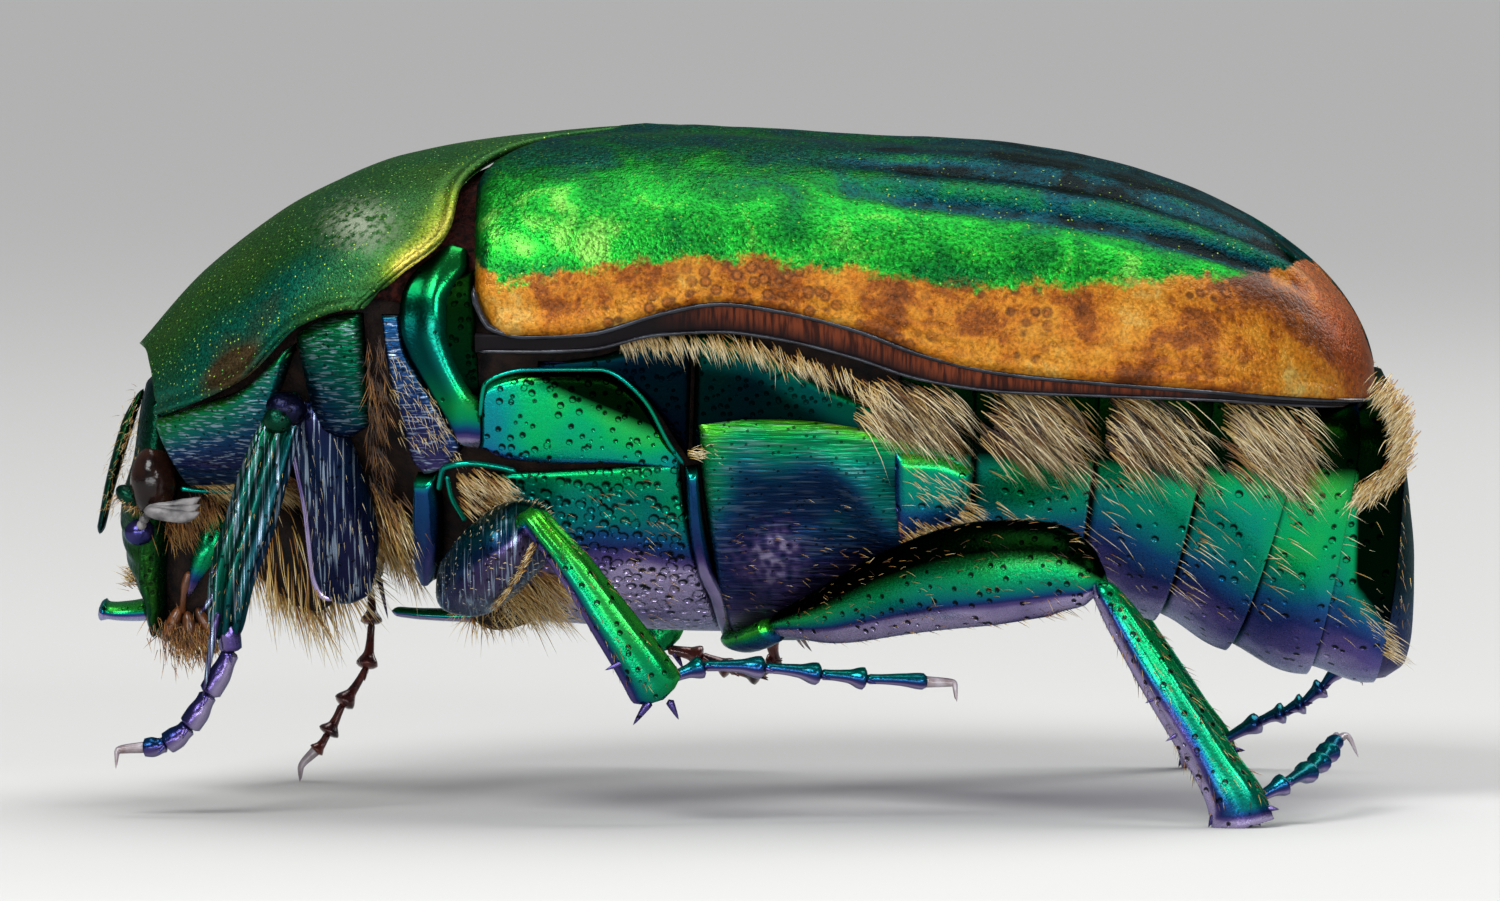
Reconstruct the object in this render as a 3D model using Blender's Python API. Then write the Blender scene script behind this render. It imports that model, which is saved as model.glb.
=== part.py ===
import bisect
import math

import bmesh
import bpy
from mathutils import Vector

# A green june beetle at life size, standing with one middle pair of feet and the left front
# foot raised.  Lengths here are in millimetres and are scaled to metres as the meshes are made.
# +Z is up, the head points to -X, the left side is -Y and the floor is z = 0.
MM = 0.001
SEAM = 0.05
WELD = 0.004

# Shell plates.
WING_THICK = 0.6
SHIELD_THICK = 0.7
SQUARENESS = 0.83
BELLY_SLOPE = 0.95
WING_END = 12.42
CROWN_START = 3.0
CROWN_POWER = 2.0
TAPER_START = 4.5
TAPER_POWER = 3.2
TAIL_HEIGHT = 8.4

# The end plate of the abdomen.
TAIL_X = 13.28
TAIL_THICK = 0.5
TAIL_CURL = 0.45
TAIL_LOW = 2.45
TAIL_HIGH = 8.14

# Legs.
FOOT_THICK = 0.26
CLAW_THICK = 0.25
LEFT = -1
RIGHT = 1

COLOURS = {
    "velvet_green": ((0.085, 0.15, 0.055), 0.55, 0.2),
    "metallic_green": ((0.03, 0.22, 0.10), 0.28, 0.75),
    "metallic_teal": ((0.02, 0.16, 0.17), 0.3, 0.75),
    "metallic_blue": ((0.02, 0.05, 0.17), 0.3, 0.75),
    "eye_brown": ((0.03, 0.015, 0.01), 0.15, 0.0),
    "feeler_grey": ((0.09, 0.10, 0.13), 0.3, 0.1),
    "mouth_brown": ((0.25, 0.11, 0.03), 0.5, 0.0),
}


# Helpers.

def clear_scene():
    for item in list(bpy.data.objects):
        bpy.data.objects.remove(item, do_unlink=True)


def material_for(key):
    found = bpy.data.materials.get(key)
    if found:
        return found
    colour, roughness, metallic = COLOURS[key]
    made = bpy.data.materials.new(key)
    made.use_nodes = True
    shader = made.node_tree.nodes["Principled BSDF"]
    shader.inputs["Base Color"].default_value = (*colour, 1.0)
    shader.inputs["Roughness"].default_value = roughness
    shader.inputs["Metallic"].default_value = metallic
    return made


def profile(*points):
    # A smooth curve through a few points that never overshoots them.
    xs = [p[0] for p in points]
    ys = [p[1] for p in points]
    steps = [(ys[i + 1] - ys[i]) / (xs[i + 1] - xs[i]) for i in range(len(xs) - 1)]
    slopes = [steps[0]]
    for before, after in zip(steps, steps[1:]):
        slopes.append(0.0 if before * after <= 0 else 2 * before * after / (before + after))
    slopes.append(steps[-1])

    def at(x):
        x = min(max(x, xs[0]), xs[-1])
        i = min(max(bisect.bisect_right(xs, x) - 1, 0), len(xs) - 2)
        span = xs[i + 1] - xs[i]
        t = (x - xs[i]) / span
        start = ys[i] * (1 + 2 * t) * (1 - t) ** 2 + slopes[i] * span * t * (1 - t) ** 2
        end = ys[i + 1] * t * t * (3 - 2 * t) + slopes[i + 1] * span * t * t * (t - 1)
        return start + end

    return at


def lerp(a, b, t):
    return a + (b - a) * t


def spread(count, low=0.0, high=1.0):
    return [lerp(low, high, i / (count - 1)) for i in range(count)]


def on_side(point, side):
    # Points are worked out for the right side, where y is positive.
    return (point[0], point[1] * side, point[2])


def finish(name, bm, colour):
    bmesh.ops.remove_doubles(bm, verts=bm.verts, dist=WELD * MM)
    bmesh.ops.recalc_face_normals(bm, faces=bm.faces)
    mesh = bpy.data.meshes.new(name)
    bm.to_mesh(mesh)
    bm.free()
    mesh.shade_smooth()
    mesh.set_sharp_from_angle(angle=math.radians(40))
    mesh.materials.append(material_for(colour))
    made = bpy.data.objects.new(name, mesh)
    bpy.context.scene.collection.objects.link(made)
    return made


def sheet_solid(name, near, far, rows, columns, colour):
    # A closed body between two sheets, each a function of (s, t) that gives a point.
    bm = bmesh.new()
    grids = [[[bm.verts.new(Vector(sheet(s, t)) * MM) for t in columns] for s in rows]
             for sheet in (near, far)]
    a, b = grids
    last_s = len(rows) - 1
    last_t = len(columns) - 1
    for i in range(last_s):
        for j in range(last_t):
            bm.faces.new((a[i][j], a[i + 1][j], a[i + 1][j + 1], a[i][j + 1]))
            bm.faces.new((b[i][j], b[i][j + 1], b[i + 1][j + 1], b[i + 1][j]))
        bm.faces.new((a[i][0], b[i][0], b[i + 1][0], a[i + 1][0]))
        bm.faces.new((a[i][last_t], a[i + 1][last_t], b[i + 1][last_t], b[i][last_t]))
    for j in range(last_t):
        bm.faces.new((a[0][j], a[0][j + 1], b[0][j + 1], b[0][j]))
        bm.faces.new((a[last_s][j], b[last_s][j], b[last_s][j + 1], a[last_s][j + 1]))
    return finish(name, bm, colour)


def mirrored_solid(name, near, rows, columns, colour):
    # The same, when the second sheet is the first one seen across the midline.
    def far(s, t):
        x, y, z = near(s, t)
        return (x, -y, z)
    return sheet_solid(name, near, far, rows, columns, colour)


def tube(name, stations, wide, colour, sides=8, grow=0.0, cap=0.4, foot=False):
    # A limb: stations are (centre, half width, half thickness) and wide points across it.
    bm = bmesh.new()
    centres = [Vector(centre) for centre, _, _ in stations]
    last = len(stations) - 1
    wide = Vector(wide)
    rings = []
    ends = []
    for i, (_, half_width, half_thick) in enumerate(stations):
        along = (centres[min(i + 1, last)] - centres[max(i - 1, 0)]).normalized()
        across = (wide - along * wide.dot(along)).normalized()
        up = along.cross(across)
        centre = centres[i]
        if i in (0, last):
            outward = along * (-1 if i == 0 else 1)
            centre = centre + outward * grow
            ends.append(centre + outward * cap * half_thick)
        ring = []
        for k in range(sides):
            turn = 2 * math.pi * k / sides
            spot = centre + across * (half_width + grow) * math.cos(turn)
            spot = spot + up * (half_thick + grow) * math.sin(turn)
            if foot and i == last:
                spot.z = 0.0
            ring.append(bm.verts.new(spot * MM))
        rings.append(ring)
    for low, high in zip(rings, rings[1:]):
        for k in range(sides):
            n = (k + 1) % sides
            bm.faces.new((low[k], low[n], high[n], high[k]))
    tips = [bm.verts.new(ends[0] * MM)]
    for k in range(sides):
        bm.faces.new((rings[0][(k + 1) % sides], rings[0][k], tips[0]))
    if foot:
        bm.faces.new(rings[last])
    else:
        tip = bm.verts.new(ends[1] * MM)
        for k in range(sides):
            bm.faces.new((rings[last][k], rings[last][(k + 1) % sides], tip))
    return finish(name, bm, colour)


def ball(name, centre, radii, colour, grow=0.0, segments=12, rings=8):
    bm = bmesh.new()
    bmesh.ops.create_uvsphere(bm, u_segments=segments, v_segments=rings, radius=1.0)
    for vert in bm.verts:
        vert.co = Vector([(c + v * (r + grow)) * MM for c, v, r in zip(centre, vert.co, radii)])
    return finish(name, bm, colour)


def combine(target, other, how):
    other.hide_render = True
    other.display_type = "WIRE"
    cut = target.modifiers.new(how.lower(), "BOOLEAN")
    cut.operation = how
    cut.object = other
    cut.solver = "EXACT"


def cut_away(target, other):
    combine(target, other, "DIFFERENCE")


def merge_in(target, other):
    combine(target, other, "UNION")


# The outline of the body, along X.

rim_line = profile((-12.6, 7.7), (-10.4, 8.6), (-9.2, 9.75), (-8.0, 10.12), (-5.6, 9.65), (-4.0, 9.65),
                   (-0.8, 10.3), (1.6, 9.85), (4.2, 9.0), (8.8, 8.55), (12.5, 8.2))
back_line = profile((-12.6, 9.2), (-11.2, 10.75), (-9.2, 12.2), (-7.2, 13.05), (-4.2, 13.52),
                    (-2.4, 13.6), (CROWN_START, 13.35))
half_width = profile((-12.6, 2.3), (-11.4, 3.9), (-9.8, 5.0), (-8.0, 5.75), (-6.0, 6.1), (-3.5, 6.5),
                     (-0.8, 6.3), (TAPER_START, 6.2))
belly_line = profile((-12.0, 6.5), (-9.0, 6.1), (-7.4, 5.0), (-5.7, 3.65), (0.6, 3.5), (3.0, 3.9),
                     (6.5, 4.25), (8.3, 3.7), (10.6, 2.8), (13.2, TAIL_LOW))

# The hind margin of the thorax shield, by the angle up the side: 0 at the rim, 90 on the midline.
shield_hind = profile((0, -7.9), (15, -7.0), (31, -6.1), (50, -5.9), (64, -5.4), (76, -4.6), (84, -3.6),
                      (90, -2.4))
shield_front = profile((0, -12.05), (90, -12.58))
WING_FRONT = -5.68


def wing_front(angle):
    return max(WING_FRONT, shield_hind(angle) + 2 * SEAM)


def dome(x, start, end, power):
    if x <= start:
        return 1.0
    reach = min((x - start) / (end - start), 1.0)
    return (1.0 - reach ** power) ** (1.0 / power)


def arch(angle, width, low, high, power=SQUARENESS):
    # A quarter of a rounded box, from its widest line at 0 degrees to the midline at 90.
    turn = math.radians(abs(angle))
    y = width * math.cos(turn) ** power if abs(angle) < 90 else 0.0
    return y, low + (high - low) * math.sin(turn) ** power


def wing_point(x, angle, inset):
    # The upper surface of the wing cases, or one that lies inset under it.
    end = WING_END - inset
    width = (half_width(x) - inset) * dome(x, TAPER_START, end, TAPER_POWER)
    crown = back_line(x) - inset
    if x > CROWN_START:
        crown = lerp(TAIL_HEIGHT, crown, dome(x, CROWN_START, end, CROWN_POWER))
    y, z = arch(angle, width, rim_line(x), crown)
    return (x, y, z)


def shield_point(x, angle, inset):
    y, z = arch(angle, half_width(x) - inset, rim_line(x), back_line(x) - inset)
    return (x, y, z)


# The body under the shell: its widest line, its top and its half width.

trunk_rim = profile((-12.0, 7.6), (-8.0, 9.95), (-5.6, 9.5), (-0.8, 10.1), (4.2, 8.85), (8.8, 8.15),
                    (11.0, 7.6), (13.2, 6.6))
trunk_top = profile((-5.6, 12.4), (CROWN_START, 12.2), (6.0, 11.4), (8.0, 10.4), (9.4, 9.1), (10.0, 8.7),
                    (11.0, 8.1), (12.4, 7.9), (13.2, 7.6))
trunk_width = profile((-5.6, 5.6), (-3.5, 5.75), (-0.8, 5.6), (4.2, 5.5), (8.0, 5.15), (10.0, 4.85),
                      (11.5, 4.3), (12.4, 3.7), (13.2, 2.8))
tail_back = profile((TAIL_LOW, 13.24), (4.5, TAIL_X), (7.1, 13.04), (TAIL_HIGH, 12.88))
tail_width = profile((TAIL_LOW, 0.9), (3.0, 1.9), (4.0, 2.8), (5.0, 3.4), (6.2, 3.8), (7.2, 3.85),
                     (TAIL_HIGH, 3.3))


def trunk_point(x, angle):
    if angle > 0:
        y, z = arch(angle, trunk_width(x), trunk_rim(x), trunk_top(x))
    else:
        y, z = arch(angle, trunk_width(x), trunk_rim(x), belly_line(x), BELLY_SLOPE)
    return (x, y, z)


def trunk_slice(name, front, hind, low, high, colour, rows=3, columns=13):
    def near(s, t):
        angle = lerp(low, high, t)
        return trunk_point(lerp(front(angle), hind(angle), s), angle)
    return mirrored_solid(name, near, spread(rows), spread(columns), colour)


def slanted(x, lean):
    # A seam that runs forward as it goes down the side and straight across the back.
    def at(angle):
        return x + lean * math.sin(math.radians(min(angle, 0)))
    return at


def moved(seam, by):
    def at(angle):
        return seam(angle) + by
    return at


# Shell plates.

def add_wing(side):
    stop = 0.992

    def surface(inset):
        def at(s, t):
            angle = 90 * t
            start = wing_front(angle)
            end = lerp(start, WING_END - inset, stop)
            x = lerp(start, end, math.sin(s * math.pi / 2))
            x, y, z = wing_point(x, angle, inset)
            return on_side((x, y + SEAM / 2, z), side)
        return at

    name = "wing_case_left" if side == LEFT else "wing_case_right"
    sheet_solid(name, surface(0.0), surface(WING_THICK), spread(17), spread(11), "velvet_green")


def shield_inset(x):
    return lerp(0.35, SHIELD_THICK, min((x + 12.6) / 1.6, 1.0))


def add_shield():
    def near(s, t):
        angle = lerp(0, 180, t)
        mirror = 1 if angle <= 90 else -1
        angle = min(angle, 180 - angle)
        x = lerp(shield_front(angle), shield_hind(angle) - SEAM, s)
        x, y, z = shield_point(x, angle, 0.0)
        return (x, y * mirror, z)

    def far(s, t):
        x, y, z = near(s, t)
        angle = lerp(0, 180, t)
        mirror = 1 if angle <= 90 else -1
        angle = min(angle, 180 - angle)
        x, y, z = shield_point(x, angle, shield_inset(x))
        return (x, y * mirror, z)

    sheet_solid("thorax_shield", near, far, spread(10), spread(21), "velvet_green")


def add_front_thorax():
    # The first ring of the thorax, inside the shield and sloping in below its margin.
    slope = 1.25
    front = -11.7

    def near(s, t):
        angle = lerp(-90, 90, t)
        if angle >= 0:
            hind = shield_hind(min(angle, 60)) - 3 * SEAM
            x = lerp(front, hind, s)
            return shield_point(x, angle, SHIELD_THICK + 2 * SEAM)
        x = lerp(front, shield_hind(0) - 3 * SEAM, s)
        y, z = arch(angle, half_width(x) - SHIELD_THICK - 2 * SEAM, rim_line(x), belly_line(x), slope)
        return (x, y, z)

    return mirrored_solid("front_thorax", near, spread(7), spread(17), "metallic_teal")


# The middle of the thorax.

MIDDLE_FRONT = -7.35
PLATE_LOW = 7.5
PLATE_HIGH = 11.3
plate_front = profile((PLATE_LOW, -5.95), (7.9, -6.1), (9.0, -6.75), (9.9, -7.2), (10.4, -7.18), (11.0, -6.66),
                      (PLATE_HIGH, -6.3))


def flank(x, z, width, low, high):
    rise = min(abs((z - low) / (high - low)), 1.0)
    return width * (1.0 - rise ** (2 / SQUARENESS)) ** (SQUARENESS / 2)


def add_middle_thorax():
    inset = 0.65

    def near(s, t):
        angle = lerp(-90, 40, t)
        if angle >= 0:
            start = shield_hind(angle) + SEAM
            x = lerp(start, WING_FRONT - SEAM, s)
            return shield_point(x, angle, inset)
        x = lerp(lerp(shield_hind(0) + SEAM, MIDDLE_FRONT, min(-angle / 25, 1)), WING_FRONT - SEAM, s)
        y, z = arch(angle, half_width(x) - inset, rim_line(x), belly_line(WING_FRONT) + 0.42)
        return (x, y, z)

    return mirrored_solid("middle_thorax", near, spread(4), spread(15), "metallic_blue")


def add_side_plate(side):
    def surface(inset):
        def at(s, t):
            z = lerp(PLATE_LOW, PLATE_HIGH, t)
            x = lerp(plate_front(z), WING_FRONT - SEAM, s)
            high = back_line(x) if z > rim_line(x) else belly_line(WING_FRONT)
            y = flank(x, z, half_width(x), rim_line(x), high) - inset
            return on_side((x, y, z), side)
        return at

    name = "side_plate_left" if side == LEFT else "side_plate_right"
    return sheet_solid(name, surface(0.0), surface(0.55), spread(4), spread(10), "metallic_teal")


def add_breast_spine():
    stations = [((-7.42, 0, 3.72), 0.3, 0.2), ((-7.2, 0, 3.72), 0.6, 0.24), ((-6.6, 0, 3.72), 0.7, 0.26),
                ((-5.85, 0, 3.74), 0.75, 0.26)]
    tube("breast_spine", stations, (0, 1, 0), "metallic_teal", sides=10)


# The hind thorax and the abdomen.

BREAST_HIND = -1.1
HIP_HIND = 2.7
BACK_HIND = 4.15
BAND_ANGLE = -27


def add_hind_thorax():
    front = trunk_slice("hind_thorax", slanted(WING_FRONT + SEAM, 0), slanted(BREAST_HIND - SEAM, -0.2), -90, 90,
                        "metallic_green", rows=5, columns=19)
    trunk_slice("hind_thorax_back", slanted(BREAST_HIND + SEAM, 0), slanted(BACK_HIND - SEAM, 0), BAND_ANGLE, 90,
                "metallic_green", rows=5, columns=13)
    return front


def hip_hind(angle):
    return lerp(BACK_HIND - 0.9, HIP_HIND - 0.3, min(-angle / 60, 1))


HIND_THIGH = [((0.4, 2.75, 3.72), 0.26, 0.26), ((1.5, 3.8, 4.0), 0.62, 0.42), ((2.8, 4.75, 4.5), 0.88, 0.5),
              ((4.4, 5.6, 4.9), 1.04, 0.52), ((5.7, 6.15, 5.02), 0.94, 0.45), ((6.4, 6.45, 4.86), 0.55, 0.3)]


def add_hip(side):
    def outer(s, t):
        angle = lerp(-90, BAND_ANGLE - 0.6, t)
        front = slanted(BREAST_HIND + SEAM, -0.2)(angle)
        x, y, z = trunk_point(lerp(front, hip_hind(angle) - SEAM, s), angle)
        return on_side((x, y + SEAM, z), side)

    def inner(s, t):
        x, y, z = outer(s, t)
        return (x, side * SEAM / 2, z)

    label = "left" if side == LEFT else "right"
    hip = sheet_solid(f"hind_hip_{label}", outer, inner, spread(6), spread(9), "metallic_blue")
    cut_away(hip, limb("hind_thigh_groove", side, HIND_THIGH, (0, 0, 1), "metallic_blue", sides=10, grow=SEAM))


def add_abdomen():
    seams = [slanted(4.3, 0.3), slanted(6.75, 0.4), slanted(9.0, 0.9), slanted(10.75, 1.2), slanted(11.85, 0.7)]

    def first_front(angle):
        if angle > BAND_ANGLE - 0.5:
            return BACK_HIND
        return hip_hind(angle)

    starts = [first_front] + seams
    for number, (front, hind) in enumerate(zip(starts, seams), start=1):
        low_side = -90
        if number == 1:
            add_first_ring(first_front, hind)
            continue
        trunk_slice(f"abdomen_ring_{number}", moved(front, SEAM), moved(hind, -SEAM), low_side, 90,
                    "metallic_green")
    add_last_ring(seams[-1])
    add_tail_plate()


def add_first_ring(front, hind):
    # The first ring shows only below the band of the hind thorax.
    high = BAND_ANGLE - 0.6

    def near(s, t):
        angle = lerp(-90, high, t)
        return trunk_point(lerp(hip_hind(angle) + SEAM, hind(angle) - SEAM, s), angle)
    mirrored_solid("abdomen_ring_1", near, spread(3), spread(9), "metallic_green")


def tail_front(z, across):
    return tail_back(z) - TAIL_THICK - TAIL_CURL * min(abs(across), 1.0) ** 2.5


def add_last_ring(front):
    def hind(angle):
        x = TAIL_X
        for _ in range(4):
            _, y, z = trunk_point(x, angle)
            x = tail_front(z, y / tail_width(z)) - 2 * SEAM
        return x

    def near(s, t):
        angle = lerp(-90, 90, t)
        start = front(angle) + SEAM
        return trunk_point(lerp(start, max(hind(angle), start + 0.1), s), angle)
    mirrored_solid("abdomen_ring_6", near, spread(3), spread(13), "metallic_green")


def add_tail_plate():
    def surface(inset):
        def at(s, t):
            z = lerp(TAIL_LOW, TAIL_HIGH, t)
            across = lerp(-1, 1, s)
            return (tail_front(z, across) + TAIL_THICK - inset, across * tail_width(z), z)
        return at
    sheet_solid("tail_plate", surface(0.0), surface(TAIL_THICK), spread(9), spread(9), "metallic_green")


# Head.

HEAD_TOP = 8.6
HEAD_LOW = 3.3
head_width = profile((HEAD_LOW, 1.1), (3.9, 1.55), (5.2, 1.7), (6.0, 2.1), (7.0, 2.2), (8.0, 1.9), (HEAD_TOP, 1.3))
head_front = profile((HEAD_LOW, -12.38), (4.2, -12.5), (5.2, -12.75), (6.0, -12.92), (7.2, -12.68), (HEAD_TOP, -12.45))
head_back = profile((HEAD_LOW, -12.1), (4.2, -11.95), (5.4, -11.85), (HEAD_TOP, -11.78))
EYE = ((-12.2, 2.02, 6.56), (0.46, 0.56, 0.72))


def add_head():
    def near(s, t):
        z = lerp(HEAD_LOW, HEAD_TOP, s)
        turn = math.pi * t
        middle = (head_front(z) + head_back(z)) / 2
        reach = (head_back(z) - head_front(z)) / 2
        y = head_width(z) * math.sin(turn) ** 0.6 if 0 < t < 1 else 0.0
        return (middle - reach * math.cos(turn), y, z)
    head = mirrored_solid("head", near, spread(12), spread(9), "metallic_green")
    for side in (LEFT, RIGHT):
        label = "left" if side == LEFT else "right"
        centre = on_side(EYE[0], side)
        ball(f"eye_{label}", centre, EYE[1], "eye_brown")
        cut_away(head, ball(f"eye_socket_{label}", centre, EYE[1], "eye_brown", grow=SEAM))


def add_horns():
    blade = [((-12.72, 0, 8.12), 0.3, 0.14), ((-12.94, 0, 7.3), 0.42, 0.18), ((-13.08, 0, 6.4), 0.45, 0.16),
             ((-13.15, 0, 5.6), 0.35, 0.12)]
    tube("brow_horn", blade, (0, 1, 0), "metallic_green", sides=8)
    scoop = [((-12.56, 0, 3.98), 1.0, 0.22), ((-12.8, 0, 3.96), 0.85, 0.22), ((-13.1, 0, 3.98), 0.8, 0.27),
             ((-13.2, 0, 4.0), 0.72, 0.2)]
    tube("lip_horn", scoop, (0, 1, 0), "metallic_green", sides=10)


def add_feeler(side):
    stem = [((-12.5, 2.02, 5.42), 0.24, 0.24), ((-12.42, 2.2, 5.62), 0.3, 0.3), ((-12.3, 2.48, 5.8), 0.25, 0.25),
            ((-12.1, 2.72, 5.92), 0.26, 0.26), ((-11.7, 2.8, 5.96), 0.34, 0.28), ((-11.2, 2.84, 6.0), 0.26, 0.26)]
    stations = [(on_side(p, side), a, b) for p, a, b in stem]
    label = "left" if side == LEFT else "right"
    return tube(f"feeler_{label}", stations, (0, 1, 0), "feeler_grey")


def add_mouth():
    stations = [((-11.3, 0, 5.85), 0.9, 0.3), ((-11.3, 0, 5.2), 1.15, 0.36), ((-11.5, 0, 4.4), 1.1, 0.36),
                ((-11.62, 0, 3.7), 0.95, 0.32), ((-11.75, 0, 3.2), 0.6, 0.26)]
    tube("mouthparts", stations, (0, 1, 0), "mouth_brown", sides=10)


# Legs.  Each list of stations is for the right side and runs from the body outwards.

def limb(name, side, stations, wide, colour, **options):
    label = "left" if side == LEFT else "right"
    placed = [(on_side(p, side), a, b) for p, a, b in stations]
    wide = (wide[0], wide[1] * side, wide[2])
    return tube(f"{name}_{label}", placed, wide, colour, **options)


def foot_path(points):
    # A row of five joints: each is slim where it starts and widest where it ends.
    stations = []
    for start, end in zip(points, points[1:]):
        start = Vector(start)
        end = Vector(end)
        stations.append((start.lerp(end, 0.12), FOOT_THICK * 0.9, FOOT_THICK * 0.9))
        stations.append((start.lerp(end, 0.86), FOOT_THICK * 1.15, FOOT_THICK * 1.1))
    return stations


def add_foot(name, side, points, claws, standing=False):
    label = "left" if side == LEFT else "right"
    path = foot_path(points)
    first = claws[0]
    path = path + [(spot, CLAW_THICK, CLAW_THICK) for spot in first]
    foot = limb(name, side, path, (0, 1, 0.01), "metallic_blue", sides=6, foot=standing)
    second = [(spot, CLAW_THICK, CLAW_THICK) for spot in [points[-1]] + list(claws[1])]
    claw = limb(f"{name}_second_claw", side, second, (0, 1, 0.01), "metallic_blue", sides=6, foot=standing)
    merge_in(foot, claw)
    return foot


def add_front_leg(side):
    hip = [((-10.0, 1.3, 6.0), 0.7, 0.6), ((-9.5, 1.6, 5.2), 0.85, 0.7), ((-8.95, 2.0, 4.55), 0.6, 0.5)]
    limb("front_hip", side, hip, (1, 0, 0.5), "metallic_blue")
    thigh = [((-8.35, 2.75, 4.5), 0.4, 0.35), ((-8.3, 3.2, 5.2), 0.75, 0.45), ((-8.5, 3.85, 6.6), 0.9, 0.5),
             ((-8.85, 4.35, 7.8), 0.55, 0.38)]
    limb("front_thigh", side, thigh, (1, 0, 0.2), "metallic_blue", sides=10)
    if side == LEFT:
        shin = [((-9.3, 4.75, 8.3), 0.28, 0.26), ((-9.6, 4.95, 7.4), 0.36, 0.3), ((-10.0, 5.0, 6.2), 0.48, 0.3),
                ((-10.28, 5.0, 5.2), 0.55, 0.3), ((-10.6, 5.0, 4.3), 0.42, 0.26)]
        points = [(-10.65, 4.95, 3.95), (-10.5, 4.9, 3.3), (-10.95, 4.85, 2.45), (-11.35, 4.8, 1.8), (-11.8, 4.75, 1.45),
                  (-12.2, 4.7, 1.4)]
        claws = ([(-12.5, 4.5, 1.4), (-12.75, 4.4, 1.1)], [(-12.5, 4.9, 1.35), (-12.75, 5.05, 1.05)])
    else:
        shin = [((-9.1, 5.0, 8.15), 0.28, 0.26), ((-8.95, 5.1, 7.2), 0.36, 0.3), ((-8.6, 5.0, 6.0), 0.48, 0.3),
                ((-8.3, 4.8, 4.9), 0.55, 0.3), ((-8.1, 4.65, 4.1), 0.42, 0.26)]
        points = [(-8.1, 4.55, 3.8), (-8.05, 4.4, 3.2), (-8.15, 4.2, 2.3), (-8.65, 4.0, 1.55), (-8.95, 3.9, 0.95),
                  (-9.2, 3.85, 0.6)]
        claws = ([(-9.4, 3.6, 0.35), (-9.5, 3.5, 0.0)], [(-9.4, 4.1, 0.35), (-9.5, 4.2, 0.0)])
    limb("front_shin", side, shin, (1, 0, 0), "metallic_blue")
    add_foot("front_foot", side, points, claws, standing=side == RIGHT)


def add_middle_leg(side, hosts):
    # The hip and the base of the thigh lie in sockets in the thorax.
    hip = [((-5.0, 1.4, 3.75), 0.7, 0.5), ((-5.2, 2.3, 4.1), 0.75, 0.55), ((-5.35, 3.1, 4.45), 0.5, 0.42)]
    thigh = [((-5.5, 3.75, 4.6), 0.75, 0.45), ((-5.4, 4.5, 4.9), 1.2, 0.6), ((-5.1, 5.5, 5.35), 1.2, 0.6),
             ((-4.8, 6.2, 5.7), 0.7, 0.4)]
    for name, stations, wide, sides in (("middle_hip", hip, (1, 0, 0.2), 8), ("middle_thigh", thigh, (1, 0, 0.9), 10)):
        limb(name, side, stations, wide, "metallic_blue", sides=sides)
        socket = limb(f"{name}_socket", side, stations, wide, "metallic_blue", sides=sides, grow=SEAM)
        for host in hosts:
            cut_away(host, socket)
    shin = [((-4.2, 6.75, 5.75), 0.26, 0.26), ((-3.65, 6.95, 5.1), 0.34, 0.28), ((-2.95, 7.0, 4.1), 0.42, 0.3),
            ((-2.3, 6.95, 3.15), 0.5, 0.3), ((-2.0, 6.9, 2.6), 0.45, 0.26)]
    limb("middle_shin", side, shin, (1, 0, 0.6), "metallic_blue")
    if side == LEFT:
        points = [(-1.72, 6.8, 3.1), (-1.1, 6.7, 3.15), (0.1, 6.5, 3.1), (1.2, 6.3, 2.95), (2.1, 6.15, 2.85),
                  (3.3, 5.95, 2.78)]
        claws = ([(3.65, 5.7, 2.72), (3.85, 5.6, 2.45)], [(3.65, 6.1, 2.7), (3.85, 6.2, 2.4)])
    else:
        points = [(-1.75, 6.8, 2.5), (-1.2, 6.75, 2.35), (-0.6, 6.6, 2.1), (0.0, 6.4, 2.0), (0.35, 6.15, 2.3),
                  (0.25, 5.95, 2.85)]
        claws = ([(0.5, 5.7, 3.15), (0.95, 5.6, 3.1)], [(0.55, 6.1, 3.2), (1.1, 6.25, 3.0)])
    add_foot("middle_foot", side, points, claws)


def add_hind_leg(side):
    joint = [((-0.4, 1.3, 3.32), 0.4, 0.25), ((-0.2, 1.8, 3.3), 0.42, 0.25), ((0.0, 2.3, 3.4), 0.32, 0.25)]
    limb("hind_joint", side, joint, (1, 0, 0), "metallic_blue")
    limb("hind_thigh", side, HIND_THIGH, (0, 0, 1), "metallic_blue", sides=10)
    shin = [((6.85, 6.75, 4.5), 0.26, 0.26), ((7.4, 6.85, 3.65), 0.36, 0.3), ((8.15, 7.0, 2.45), 0.42, 0.32),
            ((8.95, 7.05, 1.2), 0.46, 0.32), ((9.4, 7.1, 0.5), 0.6, 0.34), ((9.5, 7.1, 0.0), 0.5, 0.28)]
    limb("hind_shin", side, shin, (1, 0, 0), "metallic_blue", foot=True)
    if side == LEFT:
        points = [(10.2, 6.8, 0.8), (10.6, 6.4, 0.9), (10.85, 5.85, 1.0), (11.1, 5.3, 1.15), (11.3, 4.75, 1.3),
                  (11.45, 4.2, 1.45)]
        claws = ([(11.45, 3.9, 1.4), (11.35, 3.6, 1.15)], [(11.8, 4.0, 1.4), (11.9, 3.7, 1.15)])
    else:
        points = [(10.2, 6.85, 0.85), (10.65, 6.7, 1.1), (11.0, 6.6, 1.2), (11.4, 6.5, 1.4), (11.8, 6.4, 1.75),
                  (12.1, 6.3, 2.1)]
        claws = ([(12.35, 6.05, 2.2), (12.6, 5.95, 2.0)], [(12.35, 6.5, 2.2), (12.6, 6.65, 2.0)])
    add_foot("hind_foot", side, points, claws)


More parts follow.
